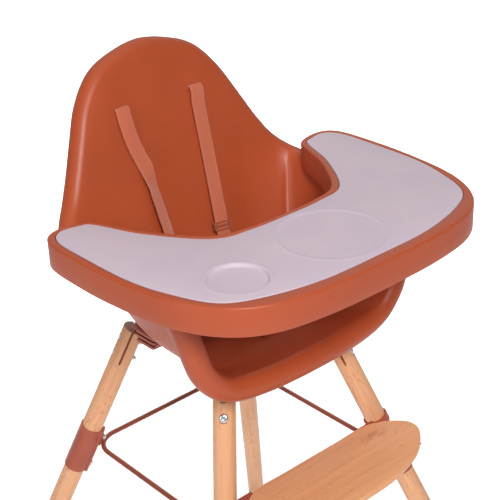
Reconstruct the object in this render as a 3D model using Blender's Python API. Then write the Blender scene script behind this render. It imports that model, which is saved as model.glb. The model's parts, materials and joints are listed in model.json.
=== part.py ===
"""High chair: moulded bucket seat on four splayed beech legs, with a slide-on tray,
a silicone tray mat, a footrest, a rod brace and a five-point harness.

Metres, +Z up.  The chair stands on z = 0, faces -Y, and is centred on x = 0.
+X is the seated child's left.
"""

import math

import bmesh
import bpy
import numpy as np
from mathutils import Matrix, Vector

# ---------------------------------------------------------------- driving dimensions
FIT_GAP = 0.0003            # space left between two touching pieces

LEG_SPREAD = 0.2756         # x and y of a leg's axis where it meets the floor
LEG_SLOPE = 0.318           # how far the axis moves inward, in x and in y, per metre up
LEG_RADIUS = 0.0147
LEG_FOOT_RADIUS = 0.0137
LEG_TOP_Z = 0.5754          # where the axis leaves the upper leg
LEG_SPLIT_Z = 0.3864        # upper and lower leg meet here, inside the sleeve
LEG_SIDES = 24

SLOT_WIDTH = 0.0031         # sawn slot in the top of each leg
SLOT_DEPTH = 0.056
BLADE_THICKNESS = 0.0025    # steel blade in that slot
BLADE_WIDTH = 0.022
BOLT_DEPTHS = (0.0195, 0.0455)  # the two cross bolts, below the top of the leg
BOLT_RADIUS = 0.003
HOLE_RADIUS = 0.0034

SLEEVE_BOTTOM_Z = 0.3469
SLEEVE_TOP_Z = 0.4158
SLEEVE_BORE = LEG_RADIUS + FIT_GAP
SLEEVE_RADIUS = 0.0162
SLEEVE_SPINE = 0.0190       # flat spine on the sleeve's inner side, from the leg axis
SLEEVE_SCREW_OFFSET = 0.025  # the two screws, above and below the sleeve's middle

ROD_RADIUS = 0.0034
RING_HALF = 0.1436          # half the side of the square rod brace
RING_BEND = 0.0344
RING_Z = 0.3864

SEAT_WALL = 0.004
ROLL_RADIUS = 0.016         # the seat's rolled rim
ROLL_SKIRT = 0.009
PAN_Z = 0.5939
PAN_CENTRE = (0.0, -0.046)
PLATE_HALF = 0.099
PLATE_TOP = PAN_Z - SEAT_WALL - 0.0006
PLATE_THICKNESS = 0.003
WAIST_SLOT = (0.080, -0.017)
CROTCH_SLOT_Y = -0.078
CROTCH_RISE = 0.0032        # how far the pan has risen there
STRAP_SLOT_HALF = (0.0130, 0.0035)

TRAY_TOP = 0.7795
TRAY_BOTTOM = 0.7434
TRAY_WALL = 0.003
TRAY_RECESS = 0.7745        # floor of the recess that holds the mat
TRAY_CEILING = 0.7715       # underside of that floor
MAT_TOP = 0.7799
MAT_GAP = 0.0008
CUP_CENTRE = (-0.1500, -0.1938)
CUP_RADIUS = 0.0340
CUP_FLOOR = 0.7763
PLATE_RING_CENTRE = (0.0, -0.1886)
PLATE_RING_RADII = (0.0632, 0.0696)
PLATE_RING_RISE = 0.0006

BOARD_TOP = 0.4423
BOARD_THICKNESS = 0.0095

WEBBING_WIDTH = 0.0215
WEBBING_THICKNESS = 0.0014
SLOT_CENTRE_X = 0.0609
SLOT_CENTRE_Z = 0.8719
BUCKLE_CENTRE = (0.0, -0.030, 0.640)
BUCKLE_TILT = math.radians(-28.0)

CORNERS = {"front_left": (1, -1), "front_right": (-1, -1), "rear_left": (1, 1), "rear_right": (-1, 1)}
SIDES = {"left": 1, "right": -1}

# The seat, one half, from the middle of the back over the armrest to the middle of the front.
# First the centre line of the rolled rim.
RIM_KEYS = (
    (0.0000, 0.1613, 0.9274), (0.0470, 0.1596, 0.9181), (0.0773, 0.1546, 0.9038), (0.1025, 0.1453, 0.8753),
    (0.1210, 0.1327, 0.8417), (0.1411, 0.1184, 0.8030), (0.1596, 0.1050, 0.7728), (0.1772, 0.0899, 0.7535),
    (0.1898, 0.0689, 0.7438), (0.1932, 0.0294, 0.7417), (0.1932, -0.0336, 0.7417),
    (0.1924, -0.0907, 0.7392), (0.1865, -0.1260, 0.7224), (0.1764, -0.1378, 0.6779),
    (0.1655, -0.1411, 0.6410), (0.1436, -0.1430, 0.6130), (0.1134, -0.1457, 0.5988),
    (0.0588, -0.1500, 0.5940), (0.0000, -0.1517, 0.5936),
)
# Then the points that the bucket's wall comes up from, which set the way the rim faces.
FOCUS_KEYS = (
    (0.0000, 0.0840, 0.7014), (0.0168, 0.1008, 0.7686), (0.0252, 0.1092, 0.8106), (0.0252, 0.1092, 0.8274),
    (0.0252, 0.1092, 0.8190), (0.0336, 0.1008, 0.7854), (0.0588, 0.0756, 0.7350), (0.1008, 0.0504, 0.6846),
    (0.1428, 0.0336, 0.6342), (0.1554, 0.0084, 0.6174), (0.1596, -0.0336, 0.6090),
    (0.1596, -0.0672, 0.6174), (0.1596, -0.0756, 0.6426), (0.1500, -0.0840, 0.6510),
    (0.1330, -0.0924, 0.6342), (0.1100, -0.1010, 0.6090), (0.0860, -0.1050, 0.5930),
    (0.0440, -0.1050, 0.5850), (0.0000, -0.1050, 0.5830),
)
# And the corner between the wall and the pan: x, y, and how far the pan rises there.
FOOT_KEYS = (
    (0.0000, 0.0487, 0.0), (0.0336, 0.0487, 0.0), (0.0588, 0.0479, 0.0), (0.0806, 0.0462, 0.0),
    (0.0974, 0.0437, 0.0), (0.1117, 0.0386, 0.0), (0.1226, 0.0319, 0.0), (0.1310, 0.0235, 0.0),
    (0.1378, 0.0101, 0.0), (0.1411, -0.0084, 0.0), (0.1428, -0.0378, 0.0), (0.1428, -0.0714, 0.0005),
    (0.1403, -0.0941, 0.0020), (0.1344, -0.1092, 0.0040), (0.1260, -0.1176, 0.0055),
    (0.1117, -0.1226, 0.0070), (0.0882, -0.1252, 0.0078), (0.0462, -0.1260, 0.0080), (0.0000, -0.1260, 0.0080),
)
# The tray from above, one half, front middle to back middle: its outside, then the mat's edge.
TRAY_KEYS = (
    (0.0000, -0.2801), (0.0907, -0.2772), (0.1621, -0.2629), (0.2075, -0.2285), (0.2352, -0.1714),
    (0.2470, -0.0932), (0.2495, -0.0252), (0.2453, 0.0336), (0.2251, 0.0546), (0.1898, 0.0512),
    (0.1709, 0.0336), (0.1445, -0.0286), (0.1000, -0.0899), (0.0546, -0.1042), (0.0000, -0.1067),
)
MAT_KEYS = (
    (0.0000, -0.2639), (0.0840, -0.2617), (0.1537, -0.2461), (0.2003, -0.2205), (0.2251, -0.1672),
    (0.2379, -0.1093), (0.2403, -0.0287), (0.2381, 0.0252), (0.2218, 0.0466), (0.1949, 0.0437),
    (0.1792, 0.0326), (0.1531, -0.0309), (0.1053, -0.0988), (0.0571, -0.1117), (0.0000, -0.1136),
)
# The footrest board from above, one half, back middle to front middle.
BOARD_KEYS = (
    (0.0000, -0.1512), (0.0504, -0.1512), (0.0924, -0.1520), (0.1159, -0.1604), (0.1344, -0.1739),
    (0.1462, -0.1898), (0.1470, -0.2050), (0.1369, -0.2201), (0.1176, -0.2352), (0.0924, -0.2461),
    (0.0504, -0.2545), (0.0000, -0.2562),
)
BOARD_DISH = 0.24           # rise of the board's ends, per metre squared from the middle

# ---------------------------------------------------------------- fittings
EAR_TOP = PLATE_TOP - PLATE_THICKNESS - FIT_GAP     # each leg bracket's ear lies under the plate
EAR_INNER = 0.084           # distance from the chair's axis, along the diagonal
EAR_BOLTS = (0.093, 0.111)
EAR_BOLT_HOLE = 0.0028
SEAT_SCREW_REACH = (0.042, 0.021)
SEAT_SCREW_MIDDLE = -0.010
SEAT_SCREW_SPOTS = {
    corner: (x * SEAT_SCREW_REACH[0], SEAT_SCREW_MIDDLE + y * SEAT_SCREW_REACH[1])
    for corner, (x, y) in CORNERS.items()
}

LUG_THICKNESS = 0.002       # the flat ends of the rod brace
COLLAR_Z = 0.4292           # footrest bracket: its collar round a front leg, and its tongue under the board
COLLAR_RADIUS = 0.0174
TONGUE_X = (0.099, 0.134)
TONGUE_TOP = BOARD_TOP - BOARD_THICKNESS + BOARD_DISH * TONGUE_X[0] ** 2 - FIT_GAP
FOOTREST_SCREW_X = 0.116
FOOTREST_SCREW_Y = (-0.181, -0.210)
FOOTREST_SCREW_HOLE = 0.0025

ARM_TOP = RIM_KEYS[9][2] + ROLL_RADIUS      # the level stretch of the armrests
ARM_NOTCH_TOP = ARM_TOP + 0.005
RAIL_Y = (-0.112, 0.020)
RAIL_SCREW_Y = (-0.095, 0.005)
LATCH_Y = -0.035
GUIDE_X = (0.2145, 0.2370)
LATCH_FLANGE_Z = (0.7635, 0.7687)
LATCH_HALF = (0.0150, 0.0200)   # half widths of the latch's stem and of its flange

BUCKLE_HALF = (0.0190, 0.0062, 0.0200)
BUTTON_RADIUS = 0.0080
TONGUE_HALF_HEIGHT = 0.0070
ACROSS = (1.0, 0.0, 0.0)
# Each shoulder strap from behind its slot down to the buckle.  Between the two marked points it runs dead
# straight, and its adjuster slides there.
SHOULDER_ROUTES = {
    "left": ((0.0610, 0.1365, 0.8719), (0.0610, 0.1240, 0.8719), (0.0594, 0.1180, 0.8620), (0.0572, 0.1150, 0.8530),
             (0.0548, 0.1065, 0.8291), (0.0514, 0.0914, 0.7839), (0.0410, 0.0516, 0.6700),
             (0.0385, 0.0370, 0.6560), (0.0350, -0.0180, 0.6480)),
    "right": ((-0.0610, 0.1365, 0.8719), (-0.0610, 0.1240, 0.8719), (-0.0624, 0.1180, 0.8620),
              (-0.0608, 0.1080, 0.8340), (-0.0556, 0.1000, 0.8110), (-0.0508, 0.0945, 0.7950),
              (-0.0486, 0.0868, 0.7733), (-0.0420, 0.0500, 0.6700),
              (-0.0390, 0.0370, 0.6560), (-0.0350, -0.0180, 0.6480)),
}
STRAIGHT_ENDS = (-4, -3)    # places in a route of the straight stretch's upper and lower end
# Extra points along it, which keep the curve straight between its last two.
STRAIGHT_KEYS = (0.12, 0.25, 0.88)
ADJUSTER_AT = 0.80          # how far down the straight stretch each adjuster rests
# Which way the webbing's width lies on the straight stretch: the right strap is turned a little there.
STRAP_ACROSS = {"left": ACROSS, "right": (math.cos(math.radians(20)), math.sin(math.radians(20)), 0.0)}


# ---------------------------------------------------------------- materials
def material(name, colour, roughness, metallic=0.0):
    made = bpy.data.materials.new(name)
    made.use_nodes = True
    shader = made.node_tree.nodes["Principled BSDF"]
    shader.inputs["Base Color"].default_value = (*colour, 1.0)
    shader.inputs["Roughness"].default_value = roughness
    shader.inputs["Metallic"].default_value = metallic
    return made


# ---------------------------------------------------------------- mesh helpers
def make_object(name, points, faces, mat):
    mesh = bpy.data.meshes.new(name)
    mesh.from_pydata([tuple(p) for p in points], [], faces)
    work = bmesh.new()
    work.from_mesh(mesh)
    bmesh.ops.recalc_face_normals(work, faces=work.faces)
    work.to_mesh(mesh)
    work.free()
    mesh.shade_smooth()
    mesh.set_sharp_from_angle(angle=math.radians(35))
    made = bpy.data.objects.new(name, mesh)
    bpy.context.collection.objects.link(made)
    if mat is not None:
        mesh.materials.append(mat)
    return made


def loft_data(rings, closed_path=False):
    """Skin of quads over equal rings of points, capped at both ends unless the path is closed."""
    count = len(rings[0])
    points = [p for ring in rings for p in ring]
    faces = []
    spans = len(rings) if closed_path else len(rings) - 1
    for row in range(spans):
        low = row * count
        high = ((row + 1) % len(rings)) * count
        for i in range(count):
            j = (i + 1) % count
            faces.append((low + i, low + j, high + j, high + i))
    if not closed_path:
        faces.append(tuple(reversed(range(count))))
        faces.append(tuple(range(len(points) - count, len(points))))
    return points, faces


def loft(name, rings, mat, closed_path=False):
    points, faces = loft_data(rings, closed_path)
    return make_object(name, points, faces, mat)


def joined(name, pieces, mat):
    """One object of several separate solids, each given as (points, faces)."""
    points, faces = [], []
    for some_points, some_faces in pieces:
        start = len(points)
        points.extend(some_points)
        faces.extend(tuple(start + i for i in face) for face in some_faces)
    return make_object(name, points, faces, mat)


def placed(data, matrix):
    points, faces = data
    return [matrix @ Vector(p) for p in points], faces


def turned(profile, sides):
    """Solid of revolution about +Z from (radius, height) pairs, bottom to top."""
    rings = []
    for radius, height in profile:
        angles = (math.tau * i / sides for i in range(sides))
        rings.append([Vector((radius * math.cos(a), radius * math.sin(a), height)) for a in angles])
    return loft_data(rings)


def rod(radius, start, end, sides=12):
    return turned(((radius, start), (radius, end)), sides)


def block(low, high):
    corners = ((low[0], low[1]), (high[0], low[1]), (high[0], high[1]), (low[0], high[1]))
    return loft_data([[Vector((x, y, z)) for x, y in corners] for z in (low[2], high[2])])


def prism(outline, low, high):
    """Flat outline in x and y, extruded from z = low to z = high."""
    return loft_data([[Vector((x, y, z)) for x, y in outline] for z in (low, high)])


def boolean(target, tool, operation):
    """Apply a Boolean with one tool object, which is used up."""
    step = target.modifiers.new("boolean", "BOOLEAN")
    step.operation = operation
    step.solver = "EXACT"
    step.object = tool
    bpy.context.view_layer.update()
    graph = bpy.context.evaluated_depsgraph_get()
    mesh = bpy.data.meshes.new_from_object(target.evaluated_get(graph))
    target.modifiers.clear()
    target.data = mesh
    bpy.data.objects.remove(tool)
    return target


def cut(target, data):
    return boolean(target, joined("tool", [data], None), "DIFFERENCE")


def cut_all(target, pieces):
    return boolean(target, joined("tool", pieces, None), "DIFFERENCE")


def add(target, data):
    return boolean(target, joined("tool", [data], None), "UNION")


def smooth_path(keys, steps, closed=False):
    """Catmull-Rom curve through the key points, with an equal number of steps between keys."""
    keys = np.array(keys, dtype=float)
    count = len(keys)
    path = []
    spans = count if closed else count - 1
    for i in range(spans):
        if closed:
            p0, p1, p2, p3 = (keys[(i + k) % count] for k in (-1, 0, 1, 2))
        else:
            p1, p2 = keys[i], keys[i + 1]
            p0 = keys[i - 1] if i else 2 * p1 - p2
            p3 = keys[i + 2] if i + 2 < count else 2 * p2 - p1
        for step in range(steps):
            t = step / steps
            path.append(0.5 * (2 * p1 + (p2 - p0) * t + (2 * p0 - 5 * p1 + 4 * p2 - p3) * t * t
                               + (3 * p1 - p0 - 3 * p2 + p3) * t ** 3))
    if not closed:
        path.append(keys[-1])
    return np.array(path)


def mirrored_loop(half_keys, steps):
    """Closed smooth curve from one half's keys, whose first and last lie on x = 0."""
    keys = [tuple(k) for k in half_keys]
    other = [(-k[0], *k[1:]) for k in keys[-2:0:-1]]
    return smooth_path(keys + other, steps, closed=True)


def inset_loop(loop, distance):
    """A flat closed loop moved inward by a distance."""
    loop = np.asarray(loop)
    along = np.roll(loop, -1, axis=0) - np.roll(loop, 1, axis=0)
    along /= np.linalg.norm(along, axis=1)[:, None]
    normal = np.stack([-along[:, 1], along[:, 0]], axis=1)
    area = 0.5 * np.sum(loop[:, 0] * np.roll(loop[:, 1], -1) - np.roll(loop[:, 0], -1) * loop[:, 1])
    return loop + normal * distance * np.sign(area)


def level(loop, height):
    return [Vector((x, y, height)) for x, y in loop]


def unit(rows):
    return rows / np.linalg.norm(rows, axis=1)[:, None]


# ---------------------------------------------------------------- leg frames
def leg_frame(side_x, side_y):
    """Matrix whose Z runs up the leg from the floor, X radially outward and Y round the chair."""
    up = Vector((-side_x * LEG_SLOPE, -side_y * LEG_SLOPE, 1.0)).normalized()
    outward = Vector((side_x, side_y, 0.0)).normalized()
    outward = (outward - outward.dot(up) * up).normalized()
    around = up.cross(outward)
    frame = Matrix((outward, around, up)).transposed().to_4x4()
    frame.translation = Vector((side_x * LEG_SPREAD, side_y * LEG_SPREAD, 0.0))
    return frame


UP_PER_METRE = 1.0 / math.sqrt(1.0 + 2.0 * LEG_SLOPE ** 2)


def along(height):
    """Distance up a leg's axis at a height above the floor."""
    return height / UP_PER_METRE


LEG_TOP = along(LEG_TOP_Z)
LEG_SPLIT = along(LEG_SPLIT_Z)
TURN_TO_X = Matrix.Rotation(math.pi / 2, 4, "Y")     # a part turned about Z now lies along +X


# ---------------------------------------------------------------- legs
def upper_leg(corner, frame, mat):
    leg = joined("upper_leg_" + corner, [rod(LEG_RADIUS, LEG_SPLIT + FIT_GAP, LEG_TOP, LEG_SIDES)], mat)
    reach = 2 * LEG_RADIUS
    cut(leg, block((-SLOT_WIDTH / 2, -reach, LEG_TOP - SLOT_DEPTH), (SLOT_WIDTH / 2, reach, LEG_TOP + reach)))
    for depth in BOLT_DEPTHS:
        hole = Matrix.Translation((0, 0, LEG_TOP - depth)) @ TURN_TO_X
        cut(leg, placed(rod(HOLE_RADIUS, -reach, reach, 10), hole))
    leg.matrix_world = frame
    return leg


def lower_leg(corner, frame, mat):
    foot = 0.0125
    straight = along(SLEEVE_BOTTOM_Z) - 0.030
    profile = ((LEG_FOOT_RADIUS, foot), (LEG_RADIUS, straight), (LEG_RADIUS, LEG_SPLIT))
    leg = joined("lower_leg_" + corner, [turned(profile, LEG_SIDES)], mat)
    leg.matrix_world = frame
    return leg


def foot_glide(corner, frame, mat):
    glide = joined("foot_glide_" + corner, [rod(LEG_FOOT_RADIUS, -0.02, 0.0122, LEG_SIDES)], mat)
    glide.data.transform(frame)
    work = bmesh.new()
    work.from_mesh(glide.data)
    whole = list(work.verts) + list(work.edges) + list(work.faces)
    sliced = bmesh.ops.bisect_plane(work, geom=whole, plane_co=(0, 0, 0), plane_no=(0, 0, -1), clear_outer=True)
    rim = [e for e in sliced["geom_cut"] if isinstance(e, bmesh.types.BMEdge)]
    bmesh.ops.holes_fill(work, edges=rim)
    bmesh.ops.recalc_face_normals(work, faces=work.faces)
    work.to_mesh(glide.data)
    work.free()
    return glide


def leg_sleeve(corner, frame, mat):
    half_spine = 0.007
    start = math.pi - math.asin(half_spine / SLEEVE_RADIUS)
    arc = [start * (2 * i / 22 - 1) for i in range(23)]
    outline = [(SLEEVE_RADIUS * math.cos(a), SLEEVE_RADIUS * math.sin(a)) for a in arc]
    outline += [(-SLEEVE_SPINE, half_spine), (-SLEEVE_SPINE, -half_spine)]
    low, high = along(SLEEVE_BOTTOM_Z), along(SLEEVE_TOP_Z)
    sleeve = joined("leg_sleeve_" + corner, [prism(outline, low, high)], mat)
    cut(sleeve, rod(SLEEVE_BORE, low - 0.01, high + 0.01, LEG_SIDES))
    for offset in (-SLEEVE_SCREW_OFFSET, SLEEVE_SCREW_OFFSET):
        hole = Matrix.Translation((-0.020, 0, (low + high) / 2 + offset)) @ TURN_TO_X
        cut(sleeve, placed(rod(0.0024, -0.01, 0.01, 8), hole))
    sleeve.matrix_world = frame
    return sleeve


def leg_bolt(name, frame, depth, mat):
    """Flanged socket bolt from the outside of a leg, closed by a domed cap nut on the inside."""
    end = LEG_RADIUS + FIT_GAP
    profile = (
        (0.0030, -end - 0.0052), (0.0048, -end - 0.0034), (0.0048, -end), (BOLT_RADIUS, -end),
        (BOLT_RADIUS, end), (0.0066, end), (0.0066, end + 0.0009), (0.0044, end + 0.0024),
        (0.0020, end + 0.0024), (0.0020, end + 0.0010),
    )
    bolt = joined(name, [turned(profile, 10)], mat)
    bolt.matrix_world = frame @ Matrix.Translation((0, 0, LEG_TOP - depth)) @ TURN_TO_X
    return bolt


# ---------------------------------------------------------------- seat mounting
def diagonal_frame(side_x, side_y):
    """Matrix whose X runs from the chair's axis out over one leg, with Z straight up."""
    outward = Vector((side_x, side_y, 0.0)).normalized()
    frame = Matrix((outward, Vector((0, 0, 1)).cross(outward), Vector((0, 0, 1)))).transposed().to_4x4()
    return frame


def ribbed_shoe(sides):
    """Solid of a ribbed shoe along the side of the seat, with two grooves along its outer face."""
    top = EAR_TOP - 0.0002
    outer, deep, inner = 0.104, 0.098, 0.088
    rings = []
    for y, bottom in ((0.030, 0.5780), (0.032, 0.5724), (0.036, 0.5690), (0.042, 0.5678), (0.072, 0.5678)):
        height = top - bottom
        levels = [bottom + height * f for f in (0.0, 0.24, 0.40, 0.62, 0.78, 1.0)]
        back = inner if y < 0.07 else inner + 0.005
        ring = [(back, levels[0]), (outer, levels[0]), (outer, levels[1]), (deep, levels[1]), (deep, levels[2]),
                (outer, levels[2]), (outer, levels[3]), (deep, levels[3]), (deep, levels[4]), (outer, levels[4]),
                (outer, levels[5]), (back, levels[5])]
        rings.append([Vector((sides[0] * x, sides[1] * y, z)) for x, z in ring])
    return loft_data(rings)


def leg_bracket(corner, sides, mat):
    """Steel blade down into the leg's slot, an ear under the mount plate, and a ribbed shoe beside it."""
    def axis_at(height):
        return math.sqrt(2) * (LEG_SPREAD - LEG_SLOPE * height)

    low = LEG_TOP_Z - (SLOT_DEPTH - 0.001) * UP_PER_METRE
    half = BLADE_THICKNESS / 2 / UP_PER_METRE
    ear_low = EAR_TOP - BLADE_THICKNESS
    outline = (
        (axis_at(low) - half, low), (axis_at(low) + half, low),
        (axis_at(EAR_TOP - 0.003) + half, EAR_TOP - 0.003), (axis_at(EAR_TOP) + half - 0.004, EAR_TOP),
        (EAR_INNER, EAR_TOP), (EAR_INNER, ear_low), (axis_at(ear_low) - half, ear_low),
    )
    width = BLADE_WIDTH / 2
    rings = [[Vector((q, y, z)) for q, z in outline] for y in (-width, width)]
    bracket = joined("leg_bracket_" + corner, [loft_data(rings)], mat)
    for distance in EAR_BOLTS:
        hole = rod(EAR_BOLT_HOLE, EAR_TOP - 0.01, EAR_TOP + 0.01, 8)
        cut(bracket, placed(hole, Matrix.Translation((distance, 0, 0))))
    bracket.data.transform(diagonal_frame(*sides))
    add(bracket, ribbed_shoe(sides))
    xs = sorted((sides[0] * 0.0890, sides[0] * 0.1030))
    ys = sorted((sides[1] * 0.0600, sides[1] * 0.0860))
    add(bracket, block((xs[0], ys[0], EAR_TOP - 0.0022), (xs[1], ys[1], EAR_TOP - 0.0004)))
    frame = leg_frame(*sides)
    for depth in BOLT_DEPTHS:
        hole = frame @ Matrix.Translation((0, 0, LEG_TOP - depth)) @ TURN_TO_X
        cut(bracket, placed(rod(HOLE_RADIUS, -0.01, 0.01, 10), hole))
    return bracket


def seat_mount_plate(mat):
    """Folded steel plate under the pan that the four leg brackets bolt to."""
    half, corner = PLATE_HALF, 0.030
    outline = []
    for x, y, turn in ((1, 1, 0), (-1, 1, 1), (-1, -1, 2), (1, -1, 3)):
        for step in range(4):
            angle = math.pi / 2 * (turn + step / 3)
            outline.append((x * (half - corner) + corner * math.cos(angle),
                            y * (half - corner) + corner * math.sin(angle)))
    plate = joined("seat_mount_plate", [prism(outline, PLATE_TOP - PLATE_THICKNESS, PLATE_TOP)], mat)
    holes = []
    for sides in CORNERS.values():
        for distance in EAR_BOLTS:
            spot = diagonal_frame(*sides) @ Matrix.Translation((distance, 0, PLATE_TOP))
            holes.append(placed(rod(0.0028, -0.01, 0.01, 8), spot))
    for x, y in SEAT_SCREW_SPOTS.values():
        holes.append(placed(rod(0.0028, -0.01, 0.01, 8), Matrix.Translation((x, y, PLATE_TOP))))
    low, high = PLATE_TOP - 0.01, PLATE_TOP + 0.01
    for sign in SIDES.values():
        x = sign * WAIST_SLOT[0]
        holes.append(block((x - 0.008, WAIST_SLOT[1] - 0.019, low), (x + 0.008, WAIST_SLOT[1] + 0.019, high)))
    holes.append(block((-0.019, CROTCH_SLOT_Y - 0.008, low), (0.019, CROTCH_SLOT_Y + 0.008, high)))
    return cut_all(plate, holes)


def seat_screw(corner, mat):
    """Pan-head screw down through the seat pan into the mount plate."""
    head = PAN_Z + 0.0008
    profile = ((0.0025, PLATE_TOP - PLATE_THICKNESS - 0.002), (0.0025, head), (0.0050, head),
               (0.0050, head + 0.0012), (0.0034, head + 0.0024))
    screw = joined("seat_screw_" + corner, [turned(profile, 10)], mat)
    screw.location = (*SEAT_SCREW_SPOTS[corner], 0)
    return screw


# ---------------------------------------------------------------- ring brace
def ring_brace(frames, mat):
    """Closed square of bent rod with a flat lug welded on at each corner."""
    path = []
    for x, y, turn in ((1, 1, 0), (-1, 1, 1), (-1, -1, 2), (1, -1, 3)):
        for step in range(7):
            angle = math.pi / 2 * (turn + step / 6)
            path.append((x * (RING_HALF - RING_BEND) + RING_BEND * math.cos(angle),
                         y * (RING_HALF - RING_BEND) + RING_BEND * math.sin(angle)))
    path = np.array(path)
    ahead = np.roll(path, -1, axis=0) - path
    behind = path - np.roll(path, 1, axis=0)
    direction = unit(unit(ahead) + unit(behind))
    sides = 8
    rings = []
    for spot, way in zip(path, direction):
        across = Vector((way[1], -way[0], 0.0))
        middle = Vector((spot[0], spot[1], RING_Z))
        rings.append([middle + ROD_RADIUS * (across * math.cos(math.tau * i / sides)
                                             + Vector((0, 0, 1)) * math.sin(math.tau * i / sides))
                      for i in range(sides)])
    brace = loft("ring_brace", rings, mat, closed_path=True)
    middle = (along(SLEEVE_BOTTOM_Z) + along(SLEEVE_TOP_Z)) / 2
    face = -SLEEVE_SPINE - FIT_GAP
    bend = RING_HALF - RING_BEND + RING_BEND * math.sqrt(0.5)
    corner = frames["rear_left"].inverted() @ Vector((bend, bend, RING_Z))
    for frame in frames.values():
        plate = block((face - LUG_THICKNESS, -0.0045, corner.z - 0.005),
                      (face, 0.0045, middle + SLEEVE_SCREW_OFFSET + 0.005))
        foot = block((corner.x, -0.0040, corner.z - 0.0030),
                     (face - LUG_THICKNESS / 2, 0.0040, corner.z + 0.0030))
        add(brace, placed(plate, frame))
        add(brace, placed(foot, frame))
        hole = Matrix.Translation((face, 0, middle + SLEEVE_SCREW_OFFSET)) @ TURN_TO_X
        cut(brace, placed(rod(0.0024, -0.01, 0.01, 8), frame @ hole))
    return brace


# ---------------------------------------------------------------- footrest
def board_ring(height_offset, inset):
    loop = inset_loop(mirrored_loop(BOARD_KEYS, 3), inset)
    return [Vector((x, y, height_offset + BOARD_DISH * x * x)) for x, y in loop]


def footrest_board(mat):
    """Dished beech board with softened edges and pilot holes for its screws."""
    base = BOARD_TOP - BOARD_THICKNESS
    soft = 0.002
    rings = [board_ring(base, soft), board_ring(base + soft, 0), board_ring(BOARD_TOP - soft, 0),
             board_ring(BOARD_TOP, soft)]
    count = len(rings[0])
    points, faces = loft_data(rings)
    faces = faces[:-2]
    # The dished faces are strips from the back edge to the front edge, so that they bend cleanly.
    for start in (0, 3 * count):
        for i in range(count // 2):
            corners = (i, i + 1, count - i - 1, (count - i) % count)
            faces.append(tuple(start + c for c in dict.fromkeys(corners)))
    board = make_object("footrest_board", points, faces, mat)
    holes = []
    for sign in SIDES.values():
        for y in FOOTREST_SCREW_Y:
            spot = Matrix.Translation((sign * FOOTREST_SCREW_X, y, base))
            holes.append(placed(rod(0.0023, -0.01, 0.0105, 8), spot))
    return cut_all(board, holes)


def footrest_bracket(side, frame, mat):
    """Steel collar round one front leg with a tongue under the board."""
    sign = SIDES[side]
    centre = along(COLLAR_Z)
    collar = rod(COLLAR_RADIUS, centre - 0.006, centre + 0.006, LEG_SIDES)
    bracket = joined("footrest_bracket_" + side, [collar], mat)
    bracket.data.transform(frame)
    xs = sorted((sign * TONGUE_X[0], sign * TONGUE_X[1]))
    add(bracket, block((xs[0], -0.225, TONGUE_TOP - 0.0025), (xs[1], -0.143, TONGUE_TOP)))
    cut(bracket, placed(rod(SLEEVE_BORE, centre - 0.06, centre + 0.06, LEG_SIDES), frame))
    for y in FOOTREST_SCREW_Y:
        spot = Matrix.Translation((sign * FOOTREST_SCREW_X, y, TONGUE_TOP))
        cut(bracket, placed(rod(FOOTREST_SCREW_HOLE, -0.01, 0.01, 8), spot))
    return bracket


# ---------------------------------------------------------------- seat shell
def seat_rows(steps):
    """Rows of points over the seat's visible face, from the pan's middle out over the rolled rim."""
    rim = mirrored_loop(RIM_KEYS, steps)
    focus = mirrored_loop(FOCUS_KEYS, steps)
    foot = mirrored_loop([(x, y, PAN_Z + rise) for x, y, rise in FOOT_KEYS], steps)
    tangent = unit(np.roll(rim, -1, axis=0) - np.roll(rim, 1, axis=0))
    rise = rim - focus
    rise = unit(rise - np.sum(rise * tangent, axis=1)[:, None] * tangent)
    out = unit(np.cross(rise, tangent))
    centre = np.array((*PAN_CENTRE, PAN_Z))
    start = rim - ROLL_RADIUS * out
    floor_edge = centre + 0.70 * (foot - centre)
    reach = np.linalg.norm(start - foot, axis=1)[:, None]
    lift = start - unit(rise + (start - foot) / reach) * reach * 0.45
    spread = floor_edge + 0.80 * (foot - floor_edge)
    rows = [centre + f * (foot - centre) for f in (0.22, 0.46)]
    for t in np.linspace(0.0, 1.0, 9)[:-1]:
        rows.append((1 - t) ** 3 * floor_edge + 3 * (1 - t) ** 2 * t * spread
                    + 3 * (1 - t) * t * t * lift + t ** 3 * start)
    for angle in np.linspace(-math.pi / 2, math.pi / 2, 7):
        rows.append(rim + ROLL_RADIUS * (math.cos(angle) * rise + math.sin(angle) * out))
    rows.append(rim + ROLL_RADIUS * out - ROLL_SKIRT * rise)
    return centre, rows


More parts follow.
